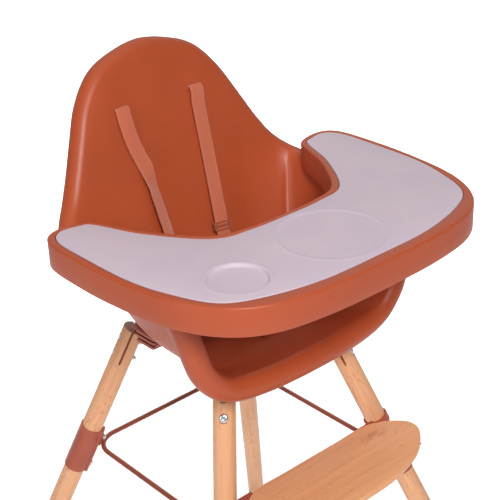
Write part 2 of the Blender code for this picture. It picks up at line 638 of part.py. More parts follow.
def seat_shell(mat):
    """Moulded bucket with a rolled rim, slotted for the harness."""
    centre, rows = seat_rows(1)
    count = len(rows[0])
    points = [tuple(centre)] + [tuple(p) for row in rows for p in row]
    faces = [(0, 1 + i, 1 + (i + 1) % count) for i in range(count)]
    for r in range(len(rows) - 1):
        low = 1 + r * count
        for i in range(count):
            j = (i + 1) % count
            faces.append((low + i, low + count + i, low + count + j, low + j))
    mesh = bpy.data.meshes.new("seat_shell")
    mesh.from_pydata(points, [], faces)
    mesh.materials.append(mat)
    shell = bpy.data.objects.new("seat_shell", mesh)
    bpy.context.collection.objects.link(shell)
    work = bmesh.new()
    work.from_mesh(mesh)
    bmesh.ops.recalc_face_normals(work, faces=work.faces)
    work.faces.ensure_lookup_table()
    if work.faces[0].normal.z < 0:
        bmesh.ops.reverse_faces(work, faces=work.faces)
    work.to_mesh(mesh)
    work.free()
    wall = shell.modifiers.new("wall", "SOLIDIFY")
    wall.thickness = SEAT_WALL
    wall.offset = -1.0
    wall.use_even_offset = False
    bpy.context.view_layer.update()
    graph = bpy.context.evaluated_depsgraph_get()
    solid = bpy.data.meshes.new_from_object(shell.evaluated_get(graph))
    shell.modifiers.clear()
    shell.data = solid
    slots = []
    long, short = STRAP_SLOT_HALF
    low, high = PAN_Z - 0.02, PAN_Z + 0.02
    for sign in SIDES.values():
        x = sign * SLOT_CENTRE_X
        slots.append(block((x - long, 0.09, SLOT_CENTRE_Z - short), (x + long, 0.16, SLOT_CENTRE_Z + short)))
        x, y = sign * WAIST_SLOT[0], WAIST_SLOT[1]
        slots.append(block((x - short, y - long, low), (x + short, y + long, high)))
    slots.append(block((-long, CROTCH_SLOT_Y - short, low), (long, CROTCH_SLOT_Y + short, high)))
    for x, y in SEAT_SCREW_SPOTS.values():
        slots.append(placed(rod(0.0028, -0.01, 0.01, 8), Matrix.Translation((x, y, PAN_Z))))
    cut_all(shell, slots)
    shell.data.shade_smooth()
    shell.data.set_sharp_from_angle(angle=math.radians(35))
    return shell


# ---------------------------------------------------------------- tray
def tray_shell(mat):
    """Tray moulding: raised rim, recessed top and a skirt that reaches down over the armrests."""
    outer = mirrored_loop(TRAY_KEYS, 2)
    recess = mirrored_loop(MAT_KEYS, 2)
    inner = inset_loop(outer, TRAY_WALL)
    rings = [
        level(recess, TRAY_RECESS), level(recess, TRAY_TOP), level(inset_loop(outer, 0.0040), TRAY_TOP),
        level(inset_loop(outer, 0.0012), TRAY_TOP - 0.0015), level(outer, TRAY_TOP - 0.0050),
        level(outer, TRAY_BOTTOM), level(inner, TRAY_BOTTOM), level(inner, TRAY_CEILING),
    ]
    tray = loft("tray_shell", rings, mat)
    for sign in SIDES.values():
        xs = sorted((sign * 0.1745, sign * 0.2115))
        cut(tray, block((xs[0], 0.026, TRAY_BOTTOM - 0.01), (xs[1], 0.080, ARM_NOTCH_TOP)))
    return tray


def tray_mat(mat):
    """Silicone mat with a round cup recess and a raised ring for a plate."""
    edge = mirrored_loop(MAT_KEYS, 2)
    rings = [level(inset_loop(edge, MAT_GAP), TRAY_RECESS + FIT_GAP),
             level(inset_loop(edge, MAT_GAP), MAT_TOP - 0.001), level(inset_loop(edge, MAT_GAP + 0.001), MAT_TOP)]
    sheet = loft("tray_mat", rings, mat)
    cup = turned(((CUP_RADIUS - 0.003, CUP_FLOOR), (CUP_RADIUS, MAT_TOP), (CUP_RADIUS, MAT_TOP + 0.01)), 24)
    cut(sheet, placed(cup, Matrix.Translation((*CUP_CENTRE, 0))))
    low, high = PLATE_RING_RADII
    ring = (
        (low, MAT_TOP - 0.001), (high, MAT_TOP - 0.001), (high, MAT_TOP + PLATE_RING_RISE),
        (low, MAT_TOP + PLATE_RING_RISE),
    )
    rings = []
    for radius, height in ring:
        angles = (math.tau * i / 32 for i in range(32))
        rings.append([Vector((radius * math.cos(a), radius * math.sin(a), height)) for a in angles])
    add(sheet, placed(loft_data(rings, closed_path=True), Matrix.Translation((*PLATE_RING_CENTRE, 0))))
    return sheet


def tray_rail(side, mat):
    """Runner screwed under the tray, which rides on top of one armrest."""
    xs = sorted((SIDES[side] * 0.1800, SIDES[side] * 0.2060))
    runner = block((xs[0], RAIL_Y[0], ARM_TOP + 2 * FIT_GAP), (xs[1], RAIL_Y[1], TRAY_CEILING - FIT_GAP))
    rail = joined("tray_rail_" + side, [runner], mat)
    middle = sum(xs) / 2
    for y in RAIL_SCREW_Y:
        spot = Matrix.Translation((middle, y, 0))
        cut(rail, placed(rod(0.0020, ARM_TOP - 0.01, TRAY_CEILING + 0.01, 8), spot))
        cut(rail, placed(rod(0.0046, ARM_TOP - 0.01, ARM_TOP + 0.0045, 8), spot))
    return rail


def latch_guide(side, mat):
    """Slotted block under the tray that holds a latch and lets it slide sideways."""
    sign = SIDES[side]
    xs = sorted((sign * GUIDE_X[0], sign * GUIDE_X[1]))
    guide = joined("latch_guide_" + side, [block((xs[0], LATCH_Y - 0.025, LATCH_FLANGE_Z[0] - 0.0050),
                                                 (xs[1], LATCH_Y + 0.025, TRAY_CEILING - FIT_GAP))], mat)
    stem, flange = LATCH_HALF
    wide = flange + FIT_GAP
    slot = stem + FIT_GAP
    floor = LATCH_FLANGE_Z[0] - FIT_GAP
    roof = LATCH_FLANGE_Z[1] + FIT_GAP
    outline = ((-wide, floor), (-slot, floor), (-slot, floor - 0.01), (slot, floor - 0.01), (slot, floor),
               (wide, floor), (wide, roof), (-wide, roof))
    rings = [[Vector((x, LATCH_Y + y, z)) for y, z in outline] for x in (xs[0] - 0.01, xs[1] + 0.01)]
    return cut(guide, loft_data(rings))


def tray_latch(side, mat):
    """Squeeze latch: a flanged slider with a finger tab below and a nose against the armrest."""
    sign = SIDES[side]
    stem, flange = LATCH_HALF
    low, high = LATCH_FLANGE_Z
    outline = ((-flange, low), (-stem, low), (-stem, TRAY_BOTTOM + 0.0012), (stem, TRAY_BOTTOM + 0.0012),
               (stem, low), (flange, low), (flange, high), (-flange, high))
    xs = sorted((sign * 0.2135, sign * 0.2365))
    rings = [[Vector((x, LATCH_Y + y, z)) for y, z in outline] for x in xs]
    latch = loft("tray_latch_" + side, rings, mat)
    xs = sorted((sign * 0.2092, sign * 0.2150))
    return add(latch, block((xs[0], LATCH_Y - 0.007, TRAY_BOTTOM + 0.0026), (xs[1], LATCH_Y + 0.007, 0.7520)))


# ---------------------------------------------------------------- harness
def ribbon(name, keys, mat, steps=2):
    """Flat webbing through (point, width direction) keys."""
    line = smooth_path([point for point, _ in keys], steps)
    widths = smooth_path([way for _, way in keys], steps)
    ahead = np.gradient(line, axis=0)
    rings = []
    for spot, way, side in zip(line, unit(ahead), widths):
        side = side - np.dot(side, way) * way
        side /= np.linalg.norm(side)
        thick = np.cross(way, side) * WEBBING_THICKNESS / 2
        side = side * WEBBING_WIDTH / 2
        rings.append([Vector(spot + a * side + b * thick) for a, b in ((-1, -1), (1, -1), (1, 1), (-1, 1))])
    return loft(name, rings, mat)


def shoulder_strap(side, mat):
    route = [Vector(point) for point in SHOULDER_ROUTES[side]]
    top, foot = (route[i] for i in STRAIGHT_ENDS)
    route[STRAIGHT_ENDS[1]:STRAIGHT_ENDS[1]] = [top.lerp(foot, share) for share in STRAIGHT_KEYS]
    turned_from, turned_to = len(route) - 7, len(route) - 2
    keys = [(tuple(point), STRAP_ACROSS[side] if turned_from <= i < turned_to else ACROSS)
            for i, point in enumerate(route)]
    return ribbon("shoulder_strap_" + side, keys, mat)


def strap_frame(side):
    """Matrix at an adjuster's rest place, with Z up along the strap and X across it."""
    top, foot = (Vector(SHOULDER_ROUTES[side][i]) for i in STRAIGHT_ENDS)
    way = (top - foot).normalized()
    across = Vector(STRAP_ACROSS[side])
    across = (across - across.dot(way) * way).normalized()
    frame = Matrix((across, way.cross(across), way)).transposed().to_4x4()
    frame.translation = top.lerp(foot, ADJUSTER_AT)
    return frame


def strap_adjuster(side, mat):
    """Moulded slider that the shoulder webbing runs through."""
    half_width = WEBBING_WIDTH / 2
    half_thick = WEBBING_THICKNESS / 2
    slider = joined("strap_adjuster_" + side,
                    [block((-half_width - 0.003, -0.0026, -0.006), (half_width + 0.003, 0.0026, 0.006))], mat)
    cut(slider, block((-half_width - 0.0005, -half_thick - 0.0004, -0.02),
                      (half_width + 0.0005, half_thick + 0.0004, 0.02)))
    slider.matrix_world = strap_frame(side)
    return slider


def buckle_frame():
    return Matrix.Translation(BUCKLE_CENTRE) @ Matrix.Rotation(BUCKLE_TILT, 4, "X")


def buckle_body(mat):
    """Buckle housing with a well for its button and a pocket in each side for a tongue."""
    wide, deep, tall = BUCKLE_HALF
    soft = 0.006
    outline = []
    for x, z, turn in ((1, 1, 0), (-1, 1, 1), (-1, -1, 2), (1, -1, 3)):
        for step in range(4):
            angle = math.pi / 2 * (turn + step / 3)
            outline.append((x * (wide - soft) + soft * math.cos(angle), z * (tall - soft) + soft * math.sin(angle)))
    rings = [[Vector((x, y, z)) for x, z in outline] for y in (-deep, deep)]
    body = joined("buckle_body", [loft_data(rings)], mat)
    facing = Matrix.Rotation(math.pi / 2, 4, "X")
    cut(body, placed(rod(BUTTON_RADIUS + FIT_GAP, 0.0010, 0.02, 20), facing))
    for sign in SIDES.values():
        xs = sorted((sign * 0.0100, sign * 0.0300))
        pocket = TONGUE_HALF_HEIGHT + FIT_GAP
        cut(body, block((xs[0], 0.0012, -pocket), (xs[1], 0.0040, pocket)))
    body.matrix_world = buckle_frame()
    return body


def buckle_button(mat):
    """Round push button in the face of the buckle."""
    button = joined("buckle_button", [turned(((BUTTON_RADIUS, -0.0030), (BUTTON_RADIUS, 0.0012),
                                              (BUTTON_RADIUS - 0.0012, 0.0022)), 20)], mat)
    button.matrix_world = buckle_frame() @ Matrix.Translation((0, -BUCKLE_HALF[1], 0)) \
        @ Matrix.Rotation(math.pi / 2, 4, "X")
    return button


def buckle_tongue(side, mat):
    """Flat tongue pushed into one side of the buckle, with a slot for the webbing."""
    sign = SIDES[side]
    xs = sorted((sign * 0.0110, sign * 0.0440))
    tongue = joined("buckle_tongue_" + side, [block((xs[0], 0.0015, -TONGUE_HALF_HEIGHT),
                                                    (xs[1], 0.0037, TONGUE_HALF_HEIGHT))], mat)
    xs = sorted((sign * 0.0225, sign * 0.0440))
    add(tongue, block((xs[0], 0.0015, -0.0135), (xs[1], 0.0037, 0.0135)))
    xs = sorted((sign * 0.0360, sign * 0.0400))
    cut(tongue, block((xs[0], -0.01, -0.0112), (xs[1], 0.02, 0.0112)))
    tongue.matrix_world = buckle_frame()
    return tongue


def buckle_point(x, y, z):
    return tuple(buckle_frame() @ Vector((x, y, z)))


def waist_strap(side, mat):
    sign = SIDES[side]
    lengthwise = (0.0, 1.0, 0.0)
    x, y = sign * WAIST_SLOT[0], WAIST_SLOT[1]
    upright = tuple(buckle_frame().to_3x3() @ Vector((0, 0, 1)))
    keys = [((x, y, PAN_Z - SEAT_WALL), lengthwise), ((x, y, PAN_Z + 0.006), lengthwise),
            ((x - sign * 0.003, y - 0.001, PAN_Z + 0.022), (0.0, 0.9, 0.35)),
            ((x - sign * 0.016, y - 0.006, PAN_Z + 0.038), (0.0, 0.7, 0.7)),
            (buckle_point(sign * 0.0470, 0.0028, 0.0), upright)]
    return ribbon("waist_strap_" + side, keys, mat, 3)


def crotch_strap(mat):
    y, pan = CROTCH_SLOT_Y, PAN_Z + CROTCH_RISE
    keys = [((0, y, pan - SEAT_WALL - 0.0002), ACROSS), ((0, y, pan + 0.005), ACROSS),
            ((0, y + 0.006, pan + 0.013), ACROSS), ((0, y + 0.022, pan + 0.021), ACROSS),
            (buckle_point(0.0, 0.0, -BUCKLE_HALF[2] - 0.0012), ACROSS)]
    return ribbon("crotch_strap", keys, mat, 3)


def shoulder_retainer(side, mat):
    """Bar behind the back that stops a shoulder strap from pulling through its slot."""
    x = SIDES[side] * SLOT_CENTRE_X
    return joined("shoulder_retainer_" + side, [block((x - 0.019, 0.1370, SLOT_CENTRE_Z - 0.0045),
                                                      (x + 0.019, 0.1400, SLOT_CENTRE_Z + 0.0045))], mat)


def crotch_retainer(mat):
    """Bar under the pan that holds the crotch strap."""
    high = PAN_Z + CROTCH_RISE - SEAT_WALL - 0.0012
    return joined("crotch_retainer", [block((-0.017, CROTCH_SLOT_Y - 0.006, high - 0.0024),
                                            (0.017, CROTCH_SLOT_Y + 0.006, high))], mat)


def main():
    for old in list(bpy.context.scene.objects):
        bpy.data.objects.remove(old)
    rust = material("rust_plastic", (0.55, 0.13, 0.06), 0.45)
    steel = material("rust_steel", (0.42, 0.10, 0.05), 0.40)
    beech = material("beech", (0.80, 0.48, 0.27), 0.50)
    zinc = material("zinc", (0.75, 0.76, 0.78), 0.25, 1.0)
    silicone = material("silicone", (0.50, 0.41, 0.45), 0.55)
    webbing = material("webbing", (0.58, 0.16, 0.09), 0.80)
    buckle = material("buckle_plastic", (0.34, 0.08, 0.04), 0.45)
    grey = material("glide_plastic", (0.30, 0.28, 0.27), 0.60)
    frames = {corner: leg_frame(*sides) for corner, sides in CORNERS.items()}
    for corner, sides in CORNERS.items():
        frame = frames[corner]
        upper_leg(corner, frame, beech)
        lower_leg(corner, frame, beech)
        foot_glide(corner, frame, grey)
        leg_sleeve(corner, frame, steel)
        leg_bracket(corner, sides, steel)
        seat_screw(corner, zinc)
        for level_name, depth in zip(("upper", "lower"), BOLT_DEPTHS):
            leg_bolt("leg_bolt_" + corner + "_" + level_name, frame, depth, zinc)
    seat_mount_plate(steel)
    seat_shell(rust)
    ring_brace(frames, steel)
    footrest_board(beech)
    tray_shell(rust)
    tray_mat(silicone)
    crotch_strap(webbing)
    crotch_retainer(buckle)
    buckle_body(buckle)
    buckle_button(rust)
    for side in SIDES:
        footrest_bracket(side, frames["front_" + side], steel)
        tray_rail(side, rust)
        latch_guide(side, rust)
        tray_latch(side, buckle)
        shoulder_strap(side, webbing)
        shoulder_retainer(side, buckle)
        strap_adjuster(side, buckle)
        waist_strap(side, webbing)
        buckle_tongue(side, buckle)


main()
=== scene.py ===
"""The high chair's looks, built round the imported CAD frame: smooth mouldings, turned beech, powder-coated
steel, woven webbing and small hardware, each riding on its CAD body."""

import json
import math

import bmesh
import bpy
import numpy as np
from mathutils import Matrix, Vector

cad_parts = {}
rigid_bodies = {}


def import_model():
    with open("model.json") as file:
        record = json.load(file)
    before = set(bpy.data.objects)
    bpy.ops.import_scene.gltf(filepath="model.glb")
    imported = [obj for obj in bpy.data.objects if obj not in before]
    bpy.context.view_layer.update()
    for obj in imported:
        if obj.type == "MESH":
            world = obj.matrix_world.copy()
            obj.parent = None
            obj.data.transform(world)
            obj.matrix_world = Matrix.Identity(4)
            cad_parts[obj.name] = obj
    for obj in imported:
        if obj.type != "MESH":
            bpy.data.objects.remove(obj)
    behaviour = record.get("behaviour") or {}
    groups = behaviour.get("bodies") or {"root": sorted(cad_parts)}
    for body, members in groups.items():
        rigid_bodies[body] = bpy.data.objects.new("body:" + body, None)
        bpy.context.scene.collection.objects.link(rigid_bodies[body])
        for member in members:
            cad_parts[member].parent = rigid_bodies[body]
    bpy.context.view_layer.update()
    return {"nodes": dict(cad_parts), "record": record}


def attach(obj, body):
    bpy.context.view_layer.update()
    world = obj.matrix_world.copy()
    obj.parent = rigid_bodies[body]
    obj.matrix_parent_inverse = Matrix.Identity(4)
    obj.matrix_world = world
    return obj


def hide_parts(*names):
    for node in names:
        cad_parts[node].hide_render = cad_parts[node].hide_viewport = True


for old in list(bpy.context.scene.objects):
    bpy.data.objects.remove(old)
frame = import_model()

# ---------------------------------------------------------------- sizes, as the CAD has them
FIT_GAP = 0.0003
LEG_SPREAD, LEG_SLOPE = 0.2756, 0.318
LEG_RADIUS, LEG_FOOT_RADIUS = 0.0147, 0.0137
LEG_TOP_Z, LEG_SPLIT_Z = 0.5754, 0.3864
SLOT_WIDTH, SLOT_DEPTH = 0.0031, 0.056
BOLT_DEPTHS = {"upper": 0.0195, "lower": 0.0455}
BOLT_RECESS, BOLT_RECESS_RADIUS, BOLT_HEAD_RADIUS = 0.0026, 0.0068, 0.0058
SLEEVE_BOTTOM_Z, SLEEVE_TOP_Z = 0.3469, 0.4158
SLEEVE_RADIUS, SLEEVE_SPINE, SLEEVE_SCREW_OFFSET = 0.0162, 0.0190, 0.025
ROD_RADIUS, RING_HALF, RING_BEND, RING_Z = 0.0034, 0.1436, 0.0344, 0.3864
LUG_THICKNESS, LUG_HALF = 0.002, 0.0045
SEAT_WALL, ROLL_RADIUS, ROLL_SKIRT = 0.004, 0.016, 0.009
PAN_Z, PAN_CENTRE = 0.5939, (0.0, -0.046)
WAIST_SLOT, CROTCH_SLOT_Y, CROTCH_RISE = (0.080, -0.017), -0.078, 0.0032
STRAP_SLOT_HALF = (0.0112, 0.0018)
SEAT_SCREWS = [(x, y) for x in (-0.042, 0.042) for y in (-0.031, 0.011)]
SCREW_HOLE_RADIUS = 0.0028
SLOT_MOUTH_HALF, SLOT_SNUG_HALF = 0.01195, 0.01105
SLOT_MOUTH_LOW, SLOT_MOUTH_HIGH, SLOT_SNUG = 0.0022, 0.0036, 0.0010
SLOT_FRONT_Y, SLOT_STEP_Y, SLOT_BACK_Y = 0.09, 0.1287, 0.16
TRAY_TOP, TRAY_BOTTOM, TRAY_WALL = 0.7795, 0.7434, 0.003
TRAY_RECESS, TRAY_CEILING = 0.7745, 0.7715
MAT_TOP, MAT_GAP = 0.7799, 0.0008
CUP_CENTRE = (-0.1500, -0.1938)
PLATE_RING_CENTRE, PLATE_RING_RADII = (0.0, -0.1886), (0.0632, 0.0696)
ARM_NOTCH_TOP = 0.7627
BOARD_TOP, BOARD_THICKNESS, BOARD_DISH = 0.4423, 0.0095, 0.24
WEBBING_WIDTH, WEBBING_THICKNESS, SEAM_AT = 0.0215, 0.0014, 0.0086
SLOT_CENTRE_X, SLOT_CENTRE_Z = 0.0609, 0.8719
BUCKLE_CENTRE, BUCKLE_TILT = (0.0, -0.030, 0.640), math.radians(-28.0)
CORNERS = {"front_left": (1, -1), "front_right": (-1, -1), "rear_left": (1, 1), "rear_right": (-1, 1)}
SIDES = {"left": 1, "right": -1}
CAMERA_ANGLES = (-40.049, 26.667, -2.531)
CAMERA_SENSOR, CAMERA_LENS, CAMERA_SHIFT = 36.0, 87.83, (0.04516, 0.0009)
CAMERA_TARGET, CAMERA_DISTANCE = (0.0, 0.0, 0.6914), 1.5882
BEND_SIGNS = ((1, 1), (-1, 1), (-1, -1), (1, -1))
ACROSS = (1.0, 0.0, 0.0)

RIM_KEYS = (
    (0.0000, 0.1613, 0.9274), (0.0470, 0.1596, 0.9181), (0.0773, 0.1546, 0.9038), (0.1025, 0.1453, 0.8753),
    (0.1210, 0.1327, 0.8417), (0.1411, 0.1184, 0.8030), (0.1596, 0.1050, 0.7728), (0.1772, 0.0899, 0.7535),
    (0.1898, 0.0689, 0.7438), (0.1932, 0.0294, 0.7417), (0.1932, -0.0336, 0.7417),
    (0.1924, -0.0907, 0.7392), (0.1865, -0.1260, 0.7224), (0.1764, -0.1378, 0.6779),
    (0.1655, -0.1411, 0.6410), (0.1436, -0.1430, 0.6130), (0.1134, -0.1457, 0.5988),
    (0.0588, -0.1500, 0.5940), (0.0000, -0.1517, 0.5936),
)
FOCUS_KEYS = (
    (0.0000, 0.0840, 0.7014), (0.0168, 0.1008, 0.7686), (0.0252, 0.1092, 0.8106), (0.0252, 0.1092, 0.8274),
    (0.0252, 0.1092, 0.8190), (0.0336, 0.1008, 0.7854), (0.0588, 0.0756, 0.7350), (0.1008, 0.0504, 0.6846),
    (0.1428, 0.0336, 0.6342), (0.1554, 0.0084, 0.6174), (0.1596, -0.0336, 0.6090),
    (0.1596, -0.0672, 0.6174), (0.1596, -0.0756, 0.6426), (0.1500, -0.0840, 0.6510),
    (0.1330, -0.0924, 0.6342), (0.1100, -0.1010, 0.6090), (0.0860, -0.1050, 0.5930),
    (0.0440, -0.1050, 0.5850), (0.0000, -0.1050, 0.5830),
)
FOOT_KEYS = (
    (0.0000, 0.0487, 0.0), (0.0336, 0.0487, 0.0), (0.0588, 0.0479, 0.0), (0.0806, 0.0462, 0.0),
    (0.0974, 0.0437, 0.0), (0.1117, 0.0386, 0.0), (0.1226, 0.0319, 0.0), (0.1310, 0.0235, 0.0),
    (0.1378, 0.0101, 0.0), (0.1411, -0.0084, 0.0), (0.1428, -0.0378, 0.0), (0.1428, -0.0714, 0.0005),
    (0.1403, -0.0941, 0.0020), (0.1344, -0.1092, 0.0040), (0.1260, -0.1176, 0.0055),
    (0.1117, -0.1226, 0.0070), (0.0882, -0.1252, 0.0078), (0.0462, -0.1260, 0.0080), (0.0000, -0.1260, 0.0080),
)
TRAY_KEYS = (
    (0.0000, -0.2801), (0.0907, -0.2772), (0.1621, -0.2629), (0.2075, -0.2285), (0.2352, -0.1714),
    (0.2470, -0.0932), (0.2495, -0.0252), (0.2453, 0.0336), (0.2251, 0.0546), (0.1898, 0.0512),
    (0.1709, 0.0336), (0.1445, -0.0286), (0.1000, -0.0899), (0.0546, -0.1042), (0.0000, -0.1067),
)
MAT_KEYS = (
    (0.0000, -0.2639), (0.0840, -0.2617), (0.1537, -0.2461), (0.2003, -0.2205), (0.2251, -0.1672),
    (0.2379, -0.1093), (0.2403, -0.0287), (0.2381, 0.0252), (0.2218, 0.0466), (0.1949, 0.0437),
    (0.1792, 0.0326), (0.1531, -0.0309), (0.1053, -0.0988), (0.0571, -0.1117), (0.0000, -0.1136),
)
BOARD_KEYS = (
    (0.0000, -0.1512), (0.0504, -0.1512), (0.0924, -0.1520), (0.1159, -0.1604), (0.1344, -0.1739),
    (0.1462, -0.1898), (0.1470, -0.2050), (0.1369, -0.2201), (0.1176, -0.2352), (0.0924, -0.2461),
    (0.0504, -0.2545), (0.0000, -0.2562),
)
SHOULDER_ROUTES = {
    "left": ((0.0610, 0.1365, 0.8719), (0.0610, 0.1240, 0.8719), (0.0594, 0.1180, 0.8620), (0.0572, 0.1150, 0.8530),
             (0.0548, 0.1065, 0.8291), (0.0514, 0.0914, 0.7839), (0.0410, 0.0516, 0.6700),
             (0.0385, 0.0370, 0.6560), (0.0350, -0.0180, 0.6480)),
    "right": ((-0.0610, 0.1365, 0.8719), (-0.0610, 0.1240, 0.8719), (-0.0624, 0.1180, 0.8620),
              (-0.0608, 0.1080, 0.8340), (-0.0556, 0.1000, 0.8110), (-0.0508, 0.0945, 0.7950),
              (-0.0486, 0.0868, 0.7733), (-0.0420, 0.0500, 0.6700),
              (-0.0390, 0.0370, 0.6560), (-0.0350, -0.0180, 0.6480)),
}
STRAIGHT_ENDS = (-4, -3)
STRAIGHT_KEYS = (0.12, 0.25, 0.88)
ADJUSTER_AT = 0.80
STRAP_TWIST = math.radians(26)
STRAP_ACROSS = {"left": ACROSS, "right": (math.cos(STRAP_TWIST), math.sin(STRAP_TWIST), 0.0)}


# ---------------------------------------------------------------- materials
class Look:
    """A Principled material with short calls for adding and joining nodes."""

    def __init__(self, name, colour, roughness, metallic=0.0, **sockets):
        self.material = bpy.data.materials.new(name)
        self.material.use_nodes = True
        self.tree = self.material.node_tree
        self.shader = self.tree.nodes["Principled BSDF"]
        self.colour = (*colour, 1.0)
        self.shader.inputs["Base Color"].default_value = self.colour
        self.shader.inputs["Roughness"].default_value = roughness
        self.shader.inputs["Metallic"].default_value = metallic
        for socket, value in sockets.items():
            self.shader.inputs[socket.replace("_", " ")].default_value = value

    def node(self, kind, inputs=None, **settings):
        made = self.tree.nodes.new("ShaderNode" + kind)
        for key, value in settings.items():
            setattr(made, key, value)
        for key, value in (inputs or {}).items():
            if hasattr(value, "links"):
                self.tree.links.new(value, made.inputs[key])
            else:
                made.inputs[key].default_value = value
        return made

    def place(self, scale=(1, 1, 1), attribute=None):
        """Object coordinates, or those of a named attribute, stretched by a scale."""
        if attribute:
            source = self.node("Attribute", attribute_name=attribute).outputs["Vector"]
        else:
            source = self.node("TexCoord").outputs["Object"]
        return self.node("Mapping", {"Vector": source, "Scale": scale}).outputs["Vector"]

    def noise(self, where, scale, detail=2.0, rough=0.5, distortion=0.0):
        return self.node("TexNoise", {"Vector": where, "Scale": scale, "Detail": detail, "Roughness": rough,
                                      "Distortion": distortion}).outputs["Fac"]

    def span(self, value, from_low, from_high, to_low, to_high):
        return self.node("MapRange", {"Value": value, "From Min": from_low, "From Max": from_high,
                                      "To Min": to_low, "To Max": to_high}).outputs["Result"]

    def math(self, operation, first, second):
        return self.node("Math", {0: first, 1: second}, operation=operation).outputs[0]

    def mix(self, share, first, second, blend="MIX"):
        return self.node("Mix", {0: share, 6: first, 7: second}, data_type="RGBA", blend_type=blend).outputs[2]

    def set(self, socket, value):
        self.tree.links.new(value, self.shader.inputs[socket])

    def bump(self, height, strength, distance):
        before = self.shader.inputs["Normal"].links
        inputs = {"Height": height, "Strength": strength, "Distance": distance}
        if before:
            inputs["Normal"] = before[0].from_socket
        self.set("Normal", self.node("Bump", inputs).outputs["Normal"])

    def worn_edges(self, colour, share):
        """Colour mixed a little paler along the sharp convex edges."""
        edge = self.node("NewGeometry").outputs["Pointiness"]
        return self.mix(self.span(edge, 0.52, 0.60, 0.0, share), colour, (0.90, 0.52, 0.40, 1.0))


def moulded(name, colour, roughness, texture=0.05):
    """Satin moulded plastic: a fine spark-eroded texture, slow colour drift, faint scuffs and paler edges."""
    look = Look(name, colour, roughness, Specular_IOR_Level=0.42)
    where = look.place()
    drift = look.noise(where, 9.0, 3.0)
    dark = tuple(c * 0.94 for c in colour) + (1.0,)
    light = tuple(min(1.0, c * 1.05) for c in colour) + (1.0,)
    body = look.mix(look.span(drift, 0.3, 0.7, 0.0, 1.0), dark, light)
    look.set("Base Color", look.worn_edges(body, 0.10))
    scuffs = look.noise(look.place((60.0, 60.0, 9.0)), 3.0, 5.0, 0.7)
    look.set("Roughness", look.span(scuffs, 0.35, 0.75, roughness - 0.02, roughness + 0.04))
    grain = look.noise(where, 1500.0, 2.0)
    look.bump(grain, texture, 0.0004)
    ripple = look.noise(where, 26.0, 1.0)
    look.bump(ripple, 0.05, 0.003)
    return look.material


def coated_steel(name, colour, roughness):
    """Powder coat over steel: orange-peel bump, tiny pits, bright wear on the edges."""
    look = Look(name, colour, roughness, Specular_IOR_Level=0.5, Coat_Weight=0.15, Coat_Roughness=0.35)
    where = look.place()
    drift = look.span(look.noise(where, 30.0, 4.0), 0.3, 0.7, 0.0, 1.0)
    dark = tuple(c * 0.88 for c in colour) + (1.0,)
    light = tuple(c * 1.08 for c in colour) + (1.0,)
    look.set("Base Color", look.worn_edges(look.mix(drift, dark, light), 0.07))
    peel = look.noise(where, 220.0, 3.0)
    look.set("Roughness", look.span(peel, 0.3, 0.7, roughness - 0.06, roughness + 0.08))
    look.bump(look.noise(where, 900.0, 2.0), 0.12, 0.0005)
    return look.material


